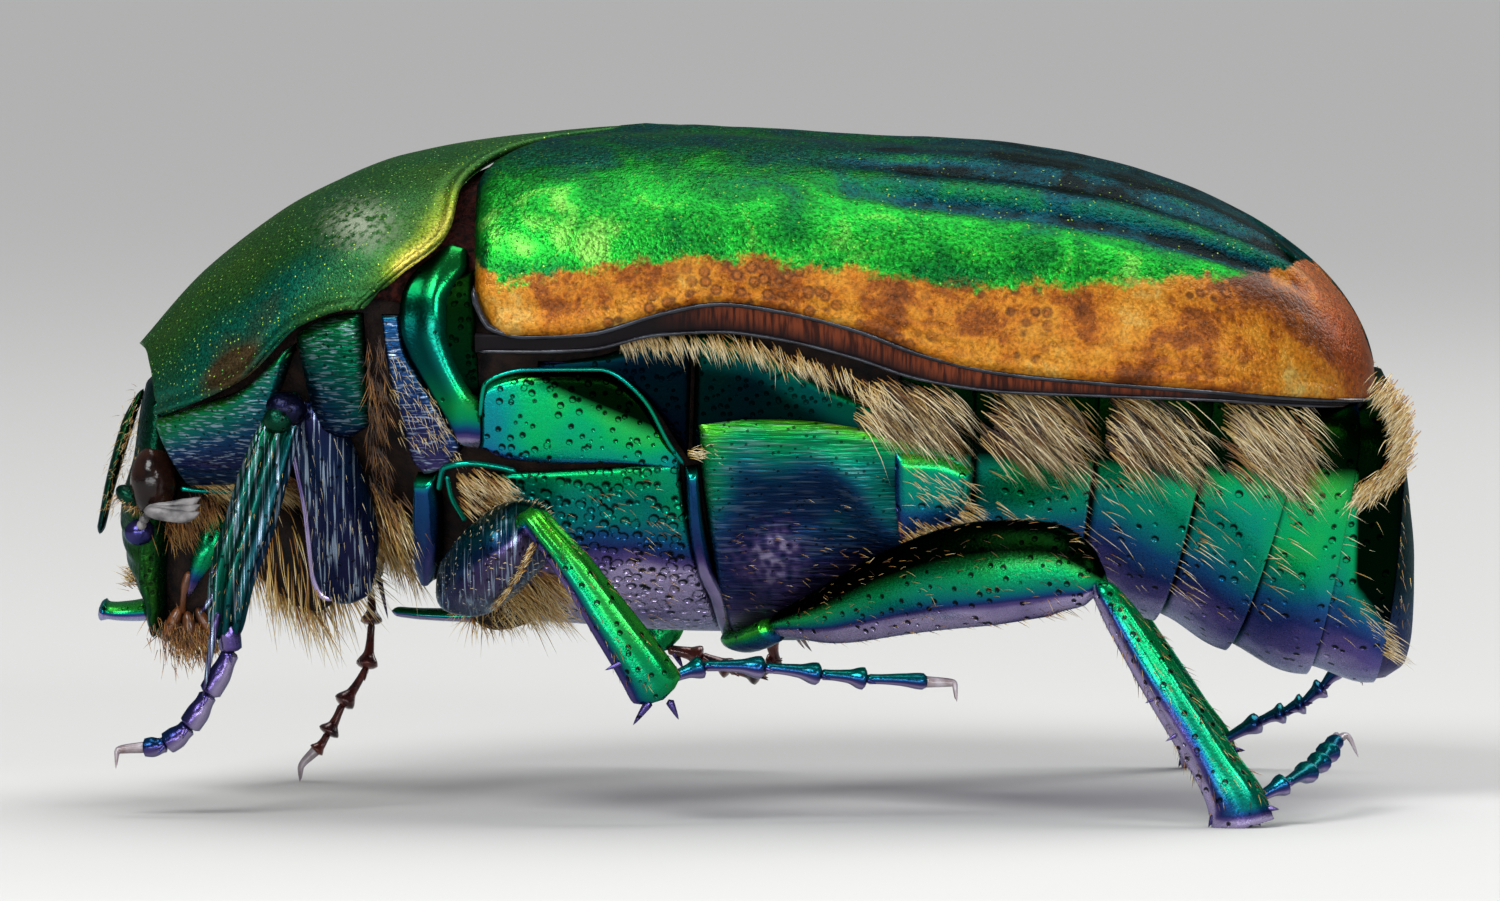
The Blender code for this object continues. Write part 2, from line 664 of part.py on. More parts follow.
def main():
    clear_scene()
    add_shield()
    add_front_thorax()
    hosts = (add_middle_thorax(), add_hind_thorax())
    add_breast_spine()
    add_abdomen()
    add_head()
    add_horns()
    add_mouth()
    for side in (LEFT, RIGHT):
        add_wing(side)
        add_side_plate(side)
        add_hip(side)
        add_feeler(side)
        add_front_leg(side)
        add_middle_leg(side, hosts)
        add_hind_leg(side)


main()
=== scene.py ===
import bisect
import math
import random

import bmesh
import bpy
import numpy as np
from mathutils import Matrix, Vector, noise


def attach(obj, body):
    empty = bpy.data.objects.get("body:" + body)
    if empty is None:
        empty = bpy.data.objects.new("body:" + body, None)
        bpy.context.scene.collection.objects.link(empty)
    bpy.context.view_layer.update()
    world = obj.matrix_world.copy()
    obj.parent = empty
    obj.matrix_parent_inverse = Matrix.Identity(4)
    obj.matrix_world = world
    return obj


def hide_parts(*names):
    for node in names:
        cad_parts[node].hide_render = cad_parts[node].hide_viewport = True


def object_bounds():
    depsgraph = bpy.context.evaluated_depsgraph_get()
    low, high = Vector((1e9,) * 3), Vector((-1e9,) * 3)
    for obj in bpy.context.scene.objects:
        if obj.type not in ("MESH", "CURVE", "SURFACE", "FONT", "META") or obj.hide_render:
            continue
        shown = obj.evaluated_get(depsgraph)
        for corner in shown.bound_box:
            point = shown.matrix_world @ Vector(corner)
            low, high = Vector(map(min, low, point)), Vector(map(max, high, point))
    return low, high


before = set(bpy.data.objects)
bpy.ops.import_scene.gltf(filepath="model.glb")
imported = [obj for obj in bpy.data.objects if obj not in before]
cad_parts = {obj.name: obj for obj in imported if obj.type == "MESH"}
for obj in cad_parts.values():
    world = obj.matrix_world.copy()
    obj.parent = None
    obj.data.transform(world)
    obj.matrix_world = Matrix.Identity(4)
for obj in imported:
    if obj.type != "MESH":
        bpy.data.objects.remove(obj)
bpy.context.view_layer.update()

# A green june beetle.  Lengths are in millimetres until a mesh is finished: +Z up, head to -X,
# left side to -Y, floor at 0.
mm = 0.001
left = -1
right = 1
weldGap = 0.002   # points closer than this are joined


def say(text):
    print("beetle:", text)


def sideName(side):
    return "Left" if side == left else "Right"


def cadName(name, side):
    # "frontHip" becomes "front_hip_left"
    words = "".join("_" + c.lower() if c.isupper() else c for c in name)
    return words + ("_left" if side == left else "_right")


def lerp(a, b, t):
    return a + (b - a) * t


def clamp(value, low=0.0, high=1.0):
    return min(max(value, low), high)


def smooth(low, high, value):
    t = clamp((value - low) / (high - low))
    return t * t * (3 - 2 * t)


def hump(value, centre, width):
    # 1 at the centre, falling smoothly to 0
    return math.exp(-((value - centre) / width) ** 2)


def profile(*points):
    # a smooth curve through a few points that never overshoots them
    xs = [p[0] for p in points]
    ys = [p[1] for p in points]
    steps = [(ys[i + 1] - ys[i]) / (xs[i + 1] - xs[i]) for i in range(len(xs) - 1)]
    slopes = [steps[0]]
    for before, after in zip(steps, steps[1:]):
        slopes.append(0.0 if before * after <= 0 else 2 * before * after / (before + after))
    slopes.append(steps[-1])

    def at(x):
        x = clamp(x, xs[0], xs[-1])
        i = min(max(bisect.bisect_right(xs, x) - 1, 0), len(xs) - 2)
        span = xs[i + 1] - xs[i]
        t = (x - xs[i]) / span
        start = ys[i] * (1 + 2 * t) * (1 - t) ** 2 + slopes[i] * span * t * (1 - t) ** 2
        end = ys[i + 1] * t * t * (3 - 2 * t) + slopes[i + 1] * span * t * t * (t - 1)
        return start + end

    return at


def shares(points):
    # how far along the path each point lies, from 0 to 1
    reach = [0.0]
    for a, b in zip(points, points[1:]):
        reach.append(reach[-1] + (Vector(b) - Vector(a)).length)
    return [r / reach[-1] for r in reach]


def pathThrough(points):
    # a smooth path through a few points, 0 at the first and 1 at the last
    axes = [profile(*zip(shares(points), column)) for column in zip(*points)]
    return lambda t: Vector([axis(t) for axis in axes])


def onSide(spot, side):
    return Vector((spot[0], spot[1] * side, spot[2]))


def wobble(point, size, seed=0.0):
    # smooth noise, about -1 to 1, with features of the given size
    return noise.noise(Vector(point) / size + Vector((seed, seed * 0.7, -seed)))


# making pieces

def addObject(name, data):
    made = bpy.data.objects.new(name, data)
    bpy.context.scene.collection.objects.link(made)
    return made


def finishPiece(name, bm, material, slot, cadNodes=(), sheet=False):
    # a sheet keeps the way its faces turn, because it isn't closed yet
    bmesh.ops.remove_doubles(bm, verts=bm.verts, dist=weldGap)
    if not sheet:
        bmesh.ops.recalc_face_normals(bm, faces=bm.faces)
    bmesh.ops.scale(bm, vec=(mm, mm, mm), verts=bm.verts)
    mesh = bpy.data.meshes.new(name)
    bm.to_mesh(mesh)
    bm.free()
    mesh.shade_smooth()
    mesh.materials.append(material)
    piece = addObject(name, mesh)
    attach(piece, "root")
    if cadNodes:
        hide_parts(*cadNodes)
    return piece


def addGrid(bm, rows, columns, place, tone=None, outFrom=None, dark=None):
    # a flat grid whose points are moved to place(s, t); it keeps s and t as its map
    # outFrom is a (y, z) line along the body that its faces turn away from
    uv = bm.loops.layers.uv.get("shape") or bm.loops.layers.uv.new("shape")
    layers = {name: bm.verts.layers.float.get(name) or bm.verts.layers.float.new(name)
              for name in ("tone", "band", "tip")}
    verts = bmesh.ops.create_grid(bm, x_segments=rows, y_segments=columns, size=1.0)["verts"]
    spots = {v: ((v.co.x + 1) / 2, (v.co.y + 1) / 2) for v in verts}
    faces = list({f for v in verts for f in v.link_faces})
    for face in faces:
        for loop in face.loops:
            loop[uv].uv = spots[loop.vert]
    for v in verts:
        s, t = spots[v]
        v.co = Vector(place(s, t))
        v[layers["tone"]] = tone(s, t) if tone else 0.5
        # dark(s, t) is painted shade on most pieces, and a pale scuff on the shield
        if dark:
            v[layers["band"]] = clamp(dark(s, t))
    if outFrom:
        turned = 0.0
        for face in faces:
            face.normal_update()
            middle = face.calc_center_median()
            turned += face.normal.dot(middle - Vector((middle.x, *outFrom))) * face.calc_area()
        if turned < 0:
            bmesh.ops.reverse_faces(bm, faces=faces)
    return verts


def closeEnds(bm):
    # fills every open loop
    bmesh.ops.remove_doubles(bm, verts=bm.verts, dist=weldGap)
    edges = [e for e in bm.edges if e.is_boundary]
    if edges:
        bmesh.ops.holes_fill(bm, edges=edges, sides=0)


def thicken(piece, thickness):
    wall = piece.modifiers.new("wall", "SOLIDIFY")
    wall.thickness = thickness * mm
    wall.offset = -1.0
    wall.use_even_offset = False


def frameAlong(path, t, wide):
    step = 0.01
    along = (path(min(t + step, 1.0)) - path(max(t - step, 0.0))).normalized()
    across = Vector(wide) - along * Vector(wide).dot(along)
    across.normalize()
    return along, across, along.cross(across)


def addTube(bm, path, width, depth, wide, rows=24, columns=16, tone=None, edge=None, dark=None):
    # a limb along a path; width and depth are half sizes by t, and edge(t, turn) adds to them
    def place(s, t):
        turn = 2 * math.pi * t
        spot = path(s)
        _, across, up = frameAlong(path, s, wide)
        extra = edge(s, turn) if edge else 0.0
        w = width(s)
        d = depth(s)
        return spot + across * math.cos(turn) * (w + extra) + up * math.sin(turn) * (d + extra)

    def tubeTone(s, t):
        turn = 2 * math.pi * t
        _, across, up = frameAlong(path, s, wide)
        facing = (across * math.cos(turn) / max(width(s), 0.01) + up * math.sin(turn) / max(depth(s), 0.01))
        facing.normalize()
        return tone(s, facing)

    return addGrid(bm, rows, columns, place, tubeTone if tone else None,
                   dark=(lambda s, t: dark(s, 2 * math.pi * t)) if dark else None)


def rounded(points, ends=0.04, power=0.5, openEnd=False):
    # a half-width profile that closes to a round tip at both ends, or at the first one only
    body = profile(*points)

    def at(t):
        edge = t if openEnd else min(t, 1 - t)
        return body(t) * (clamp(edge / ends) ** power if edge < ends else 1.0)

    return at


def addRod(bm, points, side, widths, depths=None, ends=0.05, wide=(0, 1, 0), **options):
    # a tube with round tips through points given for the right side
    width = rounded(widths, ends)
    depth = rounded(depths, ends) if depths else width
    addTube(bm, pathThrough([onSide(p, side) for p in points]), width, depth, wide, **options)


def addBlob(bm, centre, radii, tilt=0.0, tone=0.5, segments=24, rings=16):
    # a ball, stretched, then tilted about Y
    layer = bm.verts.layers.float.get("tone") or bm.verts.layers.float.new("tone")
    made = bmesh.ops.create_uvsphere(bm, u_segments=segments, v_segments=rings, radius=1.0)
    place = (Matrix.Translation(Vector(centre)) @ Matrix.Rotation(math.radians(tilt), 4, "Y")
             @ Matrix.Diagonal((*radii, 1.0)))
    bmesh.ops.transform(bm, matrix=place, verts=made["verts"])
    for v in made["verts"]:
        v[layer] = tone


# the outline of the body, along X

squareness = 0.83
bellySlope = 0.95
wing = {
    "front": -5.68, "end": 12.42, "thickness": 0.3, "crownStart": 3.0, "crownPower": 2.0,
    "taperStart": 4.5, "taperPower": 3.2, "tailHeight": 8.4, "sutureGap": 0.012,
}
bodyAxis = 7.0   # the height that the skin turns away from
rimLine = profile((-12.6, 7.7), (-10.4, 8.6), (-9.2, 9.75), (-8.0, 10.12), (-5.6, 9.65), (-4.0, 9.65),
                  (-0.8, 10.3), (1.6, 9.85), (4.2, 9.0), (8.8, 8.55), (12.5, 8.2))
backLine = profile((-12.6, 9.2), (-11.2, 10.75), (-9.2, 12.2), (-7.2, 13.05), (-4.2, 13.52),
                   (-2.4, 13.6), (wing["crownStart"], 13.35))
halfWidth = profile((-12.6, 2.3), (-11.4, 3.9), (-9.8, 5.0), (-8.0, 5.75), (-6.0, 6.1), (-3.5, 6.5),
                    (-0.8, 6.3), (wing["taperStart"], 6.2))
bellyLine = profile((-12.0, 6.5), (-9.0, 6.1), (-7.4, 5.0), (-5.7, 3.65), (0.6, 3.5), (3.0, 3.9),
                    (6.5, 4.25), (8.3, 3.7), (10.6, 2.8), (13.2, 2.45))
shieldHind = profile((0, -7.9), (15, -7.0), (31, -6.1), (50, -5.9), (64, -5.4), (76, -4.6), (84, -3.6),
                     (90, -2.4))
shieldFront = profile((0, -12.05), (90, -12.58))
trunkRim = profile((-12.0, 7.6), (-8.0, 9.95), (-5.6, 9.5), (-0.8, 10.1), (4.2, 8.85), (8.8, 8.15),
                   (11.0, 7.6), (13.2, 6.6))
trunkTop = profile((-5.6, 12.4), (3.0, 12.2), (6.0, 11.4), (8.0, 10.4), (9.4, 9.4), (11.0, 8.75),
                   (12.4, 8.4), (13.2, 7.6))
trunkWidth = profile((-5.6, 5.6), (-3.5, 5.75), (-0.8, 5.6), (4.2, 5.5), (8.0, 5.15), (10.0, 4.85),
                     (11.5, 4.3), (12.4, 3.7), (13.2, 2.8))


def dome(x, start, end, power):
    if x <= start:
        return 1.0
    return (1.0 - clamp((x - start) / (end - start)) ** power) ** (1.0 / power)


def arch(angle, width, low, high, power=squareness):
    # a quarter of a rounded box, from its widest line at 0 degrees to the midline at 90
    turn = math.radians(clamp(abs(angle), 0, 90))
    y = width * max(math.cos(turn), 0.0) ** power if abs(angle) < 90 else 0.0
    return y, low + (high - low) * math.sin(turn) ** power


def wingPoint(x, angle):
    width = halfWidth(x) * dome(x, wing["taperStart"], wing["end"], wing["taperPower"])
    crown = backLine(x)
    if x > wing["crownStart"]:
        crown = lerp(wing["tailHeight"], crown, dome(x, wing["crownStart"], wing["end"], wing["crownPower"]))
    y, z = arch(angle, width, rimLine(x), crown)
    return Vector((x, y, z))


def shieldPoint(x, angle, inset=0.0):
    y, z = arch(angle, halfWidth(x) - inset, rimLine(x), backLine(x) - inset)
    return Vector((x, y, z))


def sideWidth(x):
    return trunkWidth(x) if x > -5.6 else halfWidth(x) - 0.5


def sideTop(x):
    return trunkTop(x) if x > -5.6 else backLine(x) - 0.9


def trunkPoint(x, angle, inset=0.0):
    # 90 on the midline of the back, 0 at the widest line, -90 on the midline of the belly
    if angle > 0:
        y, z = arch(angle, sideWidth(x) - inset, trunkRim(x), sideTop(x) - inset)
    else:
        y, z = arch(angle, sideWidth(x) - inset, trunkRim(x), bellyLine(x) + inset, bellySlope)
    return Vector((x, y, z))


def angleAt(x, z):
    rim = trunkRim(x)
    if z >= rim:
        return math.degrees(math.asin(clamp((z - rim) / (sideTop(x) - rim)) ** (1 / squareness)))
    return -math.degrees(math.asin(clamp((rim - z) / (rim - bellyLine(x))) ** (1 / bellySlope)))


def outward(pointAt, a, b, side, stepA=0.05, stepB=0.8):
    # the direction that points out of a surface pointAt(a, b) given for the right side
    spot = pointAt(a, b)
    alongA = pointAt(a + stepA, b) - pointAt(a - stepA, b)
    alongB = pointAt(a, b + stepB) - pointAt(a, b - stepB)
    facing = alongA.cross(alongB)
    if facing.length < 1e-9:
        facing = Vector((0, 0, 1))
    facing.normalize()
    if facing.dot(Vector((0, spot.y, spot.z - bodyAxis))) < 0:
        facing = -facing
    return onSide(facing, side)


# materials

def isSocket(value):
    return isinstance(value, bpy.types.NodeSocket)


class Wiring:
    # the nodes of one material or group; an input is a value or another node's socket
    def __init__(self, tree):
        self.tree = tree

    def feed(self, made, inputs):
        for key, value in inputs.items():
            if isSocket(value):
                self.tree.links.new(value, made.inputs[key])
            else:
                made.inputs[key].default_value = value
        return made

    def add(self, kind, inputs, **settings):
        made = self.tree.nodes.new("ShaderNode" + kind)
        for key, value in settings.items():
            setattr(made, key, value)
        return self.feed(made, inputs)

    def maths(self, operation, a, b, clampIt=False):
        return self.add("Math", {0: a, 1: b}, operation=operation, use_clamp=clampIt).outputs[0]

    def plus(self, a, b, clampIt=False):
        return self.maths("ADD", a, b, clampIt)

    def times(self, a, b):
        return self.maths("MULTIPLY", a, b)

    def inverse(self, a):
        return self.maths("SUBTRACT", 1.0, a)

    def scaled(self, colour, amount):
        return self.add("VectorMath", {0: colour, "Scale": amount}, operation="SCALE").outputs[0]

    def mix(self, factor, a, b):
        a, b = (value if isSocket(value) else (*value, 1.0) for value in (a, b))
        return self.add("Mix", {0: factor, 6: a, 7: b}, data_type="RGBA").outputs[2]

    def remap(self, value, low, high, toLow=0.0, toHigh=1.0, smoothly=False):
        inputs = {"Value": value, "From Min": low, "From Max": high, "To Min": toLow, "To Max": toHigh}
        made = self.add("MapRange", inputs, interpolation_type="SMOOTHSTEP" if smoothly else "LINEAR")
        return made.outputs["Result"]

    def noise(self, place, scale, detail=2.0, roughness=0.5, distortion=0.0):
        inputs = {"Vector": place, "Scale": scale, "Detail": detail, "Roughness": roughness,
                  "Distortion": distortion}
        return self.add("TexNoise", inputs).outputs["Fac"]

    def cells(self, place, scale, randomness=1.0):
        return self.add("TexVoronoi", {"Vector": place, "Scale": scale, "Randomness": randomness}).outputs

    def sparkle(self, place, scale, size, share):
        # a mask of small dots on a share of the cells, and a random value for each cell
        dots = self.cells(place, scale)
        chance = self.add("SeparateColor", {"Color": dots["Color"]}).outputs
        return self.times(self.remap(dots["Distance"], *size), self.remap(chance[0], *share)), chance[1]

    def ramp(self, value, stops):
        made = self.add("ValToRGB", {"Fac": value})
        elements = made.color_ramp.elements
        elements.remove(elements[-1])
        elements[0].position = stops[0][0]
        elements[0].color = (*stops[0][1], 1.0)
        for place, colour in stops[1:]:
            elements.new(place).color = (*colour, 1.0)
        return made.outputs["Color"]

    def attribute(self, name):
        return self.add("Attribute", {}, attribute_name=name).outputs["Fac"]

    def stretched(self, place, scale):
        return self.add("Mapping", {"Vector": place, "Scale": scale}).outputs["Vector"]

    def millimetres(self):
        return self.stretched(self.add("TexCoord", {}).outputs["Object"], (1 / mm, 1 / mm, 1 / mm))

    def use(self, group, inputs):
        return self.add("Group", inputs, node_tree=group).outputs


class Finish(Wiring):
    # a material: values and sockets go into its Principled BSDF
    def __init__(self, name, values):
        self.made = bpy.data.materials.new(name)
        self.made.use_nodes = True
        super().__init__(self.made.node_tree)
        self.paint(values)

    def paint(self, inputs):
        self.feed(self.tree.nodes["Principled BSDF"], inputs)
        return self.made

    def bump(self, height, depth, under=None):
        inputs = {"Height": height, "Distance": depth * mm, "Strength": 1.0}
        if under is not None:
            inputs["Normal"] = under
        normal = self.add("Bump", inputs).outputs["Normal"]
        self.paint({"Normal": normal})
        return normal


def newGroup(name, inputs, outputs):
    # an input without a value is a place
    group = bpy.data.node_groups.new(name, "ShaderNodeTree")
    for label, value in inputs.items():
        kind = "NodeSocketVector" if value is None else "NodeSocketFloat"
        made = group.interface.new_socket(name=label, in_out="INPUT", socket_type=kind)
        if value is not None:
            made.default_value = value
    for label, kind in outputs.items():
        group.interface.new_socket(name=label, in_out="OUTPUT", socket_type="NodeSocket" + kind)
    return Wiring(group), group.nodes.new("NodeGroupInput").outputs, group.nodes.new("NodeGroupOutput")


def makeRainbow():
    # the metallic colours of the shell, from golden green through blue to lilac; the pale lilac at the top
    # end is a painted highlight for faces that turn down
    wires, given, out = newGroup("shellRainbow", {"Place": None, "Tone": 0.4, "Drift": 0.1},
                                 {"Colour": "Color"})
    cloud = wires.noise(given["Place"], 0.55, 3.0)
    shift = wires.times(wires.maths("SUBTRACT", cloud, 0.5), given["Drift"])
    tone = wires.plus(given["Tone"], wires.times(shift, 4.0), clampIt=True)
    colour = wires.ramp(tone, [
        (0.0, (0.22, 0.28, 0.01)), (0.12, (0.03, 0.28, 0.012)), (0.28, (0.0, 0.22, 0.06)),
        (0.45, (0.0, 0.13, 0.12)), (0.6, (0.004, 0.05, 0.15)), (0.75, (0.012, 0.018, 0.10)),
        (0.88, (0.08, 0.055, 0.19)), (1.0, (0.32, 0.27, 0.45))])
    wires.feed(out, {"Colour": colour})
    return wires.tree


def makePits():
    # pits with painted shade: a dark crescent on their upper side
    wires, given, out = newGroup("shellPits", {"Place": None, "Per Mm": 3.0, "Size": 0.25},
                                 {"Mask": "Float", "Height": "Float"})
    inner = wires.times(given["Size"], 0.75)
    masks = []
    for move in ((0, 0, 0), (0.02, 0.0, 0.06)):
        place = wires.add("VectorMath", {0: given["Place"], 1: move}, operation="ADD").outputs[0]
        masks.append(wires.remap(wires.cells(place, given["Per Mm"], 0.8)["Distance"], given["Size"], inner))
    wires.feed(out, {"Mask": wires.times(masks[0], wires.inverse(masks[1])),
                     "Height": wires.inverse(masks[0])})
    return wires.tree


def makeGrain():
    # fine irregular grain and long soft waves
    wires, given, out = newGroup("shellGrain", {"Place": None, "Fine": 18.0, "Waves": 1.4, "Mix": 0.5},
                                 {"Height": "Float", "Value": "Float"})
    fine = wires.noise(given["Place"], given["Fine"], roughness=0.6)
    waves = wires.noise(given["Place"], given["Waves"], distortion=0.6)
    both = wires.add("Mix", {0: given["Mix"], 2: waves, 3: fine}).outputs[0]
    wires.feed(out, {"Height": both, "Value": fine})
    return wires.tree


rainbow = makeRainbow()
pits = makePits()
grain = makeGrain()


def metalShell(name, drift=0.1, pitsPerMm=3.0, pitSize=0.2, pitDepth=0.04, grainDepth=0.012, fine=18.0,
               roughness=0.3, darken=0.7, metallic=0.85, dim=1.0, coat=0.06, stretch=(1, 1, 1), strokes=None,
               specular=0.5):
    shell = Finish(name, {"Specular IOR Level": specular, "Specular Tint": (0.3, 0.45, 0.5, 1.0),
                          "Coat Roughness": 0.12})
    band = shell.attribute("band")
    place = shell.millimetres()
    drawn = shell.stretched(place, stretch)
    colour = shell.use(rainbow, {"Place": place, "Tone": shell.attribute("tone"), "Drift": drift})["Colour"]
    holes = shell.use(pits, {"Place": place, "Per Mm": pitsPerMm, "Size": pitSize})
    skin = shell.use(grain, {"Place": drawn, "Fine": fine, "Waves": 1.4, "Mix": 0.5})
    # painted shade: the colour falls towards black as the attribute read above rises, and in the dark
    # crescents of the pits; where it is high the shell also turns fully metallic and loses its coat
    shade = shell.times(shell.remap(holes["Mask"], 0.0, 1.0, dim, dim * (1 - darken)),
                        shell.remap(band, 0.0, 0.85, 1.0, 0.01))
    colour = shell.scaled(colour, shade)
    if strokes:
        # fine pale scratches that follow the stretch
        scale, amount = strokes
        marks = shell.noise(drawn, scale, 1.0, distortion=0.25)
        mark = shell.times(shell.remap(marks, 0.56, 0.64), shade)
        colour = shell.mix(shell.times(mark, amount / dim), colour, (0.32, 0.42, 0.55))
    first = shell.bump(skin["Height"], grainDepth)
    shell.bump(holes["Height"], pitDepth, under=first)
    return shell.paint({"Base Color": colour, "Metallic": shell.remap(band, 0.0, 1.0, metallic, 1.0),
                        "Coat Weight": shell.remap(band, 0.0, 0.7, coat, 0.0),
                        "Roughness": shell.remap(skin["Value"], 0.3, 0.7, roughness - 0.06,
                                                 roughness + 0.08)})


def plainShell(name, colour, dark, roughness=0.4, metallic=0.0, scale=2.0, depth=0.01, coat=0.0,
               specular=0.5):
    # a plain horn or membrane with clouds of a darker colour
    horn = Finish(name, {"Metallic": metallic, "Roughness": roughness, "Specular IOR Level": specular,
                         "Coat Weight": coat})
    place = horn.millimetres()
    cloud = horn.remap(horn.noise(place, scale, 4.0), 0.35, 0.65)
    horn.bump(horn.noise(place, 14.0), depth)
    return horn.paint({"Base Color": horn.mix(cloud, dark, colour)})


def flapShell():
    flap = Finish("flapShell", {"Roughness": 0.6, "Specular IOR Level": 0.08})
    cloud = flap.noise(flap.stretched(flap.millimetres(), (7, 1, 0.6)), 2.0, 3.0)
    brown = flap.mix(flap.remap(cloud, 0.4, 0.6), (0.03, 0.008, 0.005), (0.13, 0.03, 0.012))
    return flap.paint({"Base Color": flap.mix(flap.attribute("tone"), (0.006, 0.005, 0.006), brown)})


def velvetShell():
    # the thorax shield: dull green with fine golden sparkle dots, which are painted glints; gold at the low
    # end of its tone is a painted highlight
    velvet = Finish("velvetShell", {"Metallic": 0.7, "Specular Tint": (0.35, 0.5, 0.35, 1.0)})
    place = velvet.millimetres()
    tone = velvet.plus(velvet.attribute("tone"),
                       velvet.remap(velvet.noise(place, 0.5, 3.0), 0.3, 0.7, -0.12, 0.12))
    base = velvet.ramp(tone, [
        (0.0, (0.50, 0.42, 0.08)), (0.14, (0.14, 0.20, 0.015)), (0.3, (0.03, 0.09, 0.012)),
        (0.55, (0.01, 0.07, 0.018)), (0.8, (0.0, 0.07, 0.045)), (1.0, (0.04, 0.025, 0.01))])
    # painted glints: small bright golden-green dots
    isDot, chance = velvet.sparkle(place, 12.0, (0.26, 0.12), (0.45, 0.6))
    dots = velvet.mix(chance, (0.6, 0.75, 0.08), (0.1, 0.6, 0.15))
    skin = velvet.use(grain, {"Place": place, "Fine": 20.0, "Waves": 1.1, "Mix": 0.6})
    colour = velvet.scaled(velvet.mix(velvet.times(isDot, 0.75), base, dots),
                           velvet.remap(skin["Value"], 0.35, 0.65, 0.5, 1.5))
    # a chalky scuff
    scuff = velvet.times(velvet.attribute("band"), velvet.remap(velvet.noise(place, 7.0, 4.0), 0.4, 0.56))
    rough = velvet.plus(velvet.remap(skin["Value"], 0.3, 0.7, 0.36, 0.5), velvet.times(scuff, 0.3))
    first = velvet.bump(skin["Height"], 0.02)
    velvet.bump(velvet.inverse(isDot), 0.012, under=first)
    return velvet.paint({"Base Color": velvet.mix(scuff, colour, (0.26, 0.3, 0.22)), "Roughness": rough})


def wingShell():
    # green above with golden dots that are painted glints, ochre with brown cells along the side and
    # red-brown at the tip
    shell = Finish("wingShell", {"Specular Tint": (0.3, 0.45, 0.4, 1.0), "Specular IOR Level": 0.35})
    place = shell.millimetres()
    tip = shell.attribute("tip")
    cloud = shell.noise(place, 0.9, 5.0, distortion=0.8)
    green = shell.ramp(shell.plus(shell.attribute("tone"), shell.remap(cloud, 0.3, 0.7, -0.2, 0.2)), [
        (0.0, (0.14, 0.40, 0.06)), (0.2, (0.01, 0.26, 0.02)), (0.42, (0.003, 0.11, 0.014)),
        (0.62, (0.0, 0.06, 0.035)), (0.82, (0.0, 0.035, 0.05)), (1.0, (0.0, 0.004, 0.006))])
    skin = shell.use(grain, {"Place": place, "Fine": 13.0, "Waves": 1.5, "Mix": 0.45})
    green = shell.scaled(green, shell.remap(skin["Value"], 0.35, 0.65, 0.5, 1.5))
    # painted glints: small golden-green dots
    isDot, _ = shell.sparkle(place, 9.0, (0.2, 0.1), (0.5, 0.62))
    green = shell.mix(shell.times(isDot, 0.5), green, (0.35, 0.5, 0.06))

    # the ochre side, with brown rings in places
    ochre = shell.ramp(shell.noise(place, 0.5, 7.0, roughness=0.7), [
        (0.38, (0.07, 0.015, 0.001)), (0.46, (0.17, 0.042, 0.002)), (0.50, (0.28, 0.09, 0.004)),
        (0.58, (0.33, 0.135, 0.01)), (0.66, (0.32, 0.21, 0.05))])
    reach = shell.cells(place, 3.4, 0.9)["Distance"]
    spotted = shell.times(shell.remap(shell.noise(place, 0.4, 3.0), 0.52, 0.62), 0.8)
    for low, high, brown in ((0.48, 0.36, (0.07, 0.018, 0.003)), (0.3, 0.18, (0.24, 0.07, 0.008))):
        ochre = shell.mix(shell.times(shell.remap(reach, low, high), spotted), ochre, brown)
    ochre = shell.mix(shell.times(tip, 0.85), ochre, (0.3, 0.05, 0.006))
    ochre = shell.scaled(ochre, shell.remap(skin["Value"], 0.35, 0.65, 0.7, 1.3))

    # the border between them is ragged
    ragged = shell.remap(shell.noise(place, 2.2, 7.0, roughness=0.8), 0.3, 0.7, -0.3, 0.3)
    isOchre = shell.remap(shell.plus(shell.attribute("band"), ragged), -0.1, 0.16, smoothly=True)
    metal = shell.plus(shell.remap(isOchre, 0.0, 1.0, 0.8, 0.25), shell.times(tip, 0.5), clampIt=True)
    first = shell.bump(skin["Height"], 0.055)
    shell.bump(shell.use(pits, {"Place": place, "Per Mm": 4.0, "Size": 0.2})["Height"], 0.012, under=first)
    return shell.paint({"Base Color": shell.mix(isOchre, green, ochre), "Metallic": metal,
                        "Roughness": shell.remap(skin["Value"], 0.3, 0.7, 0.26, 0.42)})


def hairShell():
    hair = Finish("hairs", {"Roughness": 0.42})
    return hair.paint({"Base Color": hair.ramp(hair.attribute("tone"), [
        (0.0, (0.72, 0.63, 0.42)), (0.28, (0.44, 0.29, 0.07)), (0.5, (0.26, 0.10, 0.018)),
        (0.75, (0.05, 0.022, 0.01)), (1.0, (0.012, 0.008, 0.007))])})


flapMaterial = flapShell()
hairMaterial = hairShell()
shieldMaterial = velvetShell()
wingMaterial = wingShell()
bodyMaterial = metalShell("pittedShell", pitSize=0.26, roughness=0.26, darken=0.97, dim=1.6)
wrinkledMaterial = metalShell("wrinkledShell", pitsPerMm=6.0, pitDepth=0.02, fine=4.0, grainDepth=0.09,
                              stretch=(0.5, 0.6, 3.2), dim=0.6, strokes=(7.5, 0.45))
sideMaterial = metalShell("sideShell", pitsPerMm=4.4, pitSize=0.34, pitDepth=0.05, roughness=0.26,
                          darken=0.97, dim=1.8)
smoothMaterial = metalShell("smoothShell", pitsPerMm=2.0, pitSize=0.1, pitDepth=0.01, grainDepth=0.008,
                            roughness=0.2, dim=1.3)
headMaterial = metalShell("headShell", pitsPerMm=6.0, pitSize=0.3, pitDepth=0.03, grainDepth=0.06, fine=6.0,
                          dim=0.16, stretch=(1.5, 1, 1.5))
footMaterial = metalShell("footShell", pitSize=0.1, pitDepth=0.02, dim=0.9, roughness=0.2)
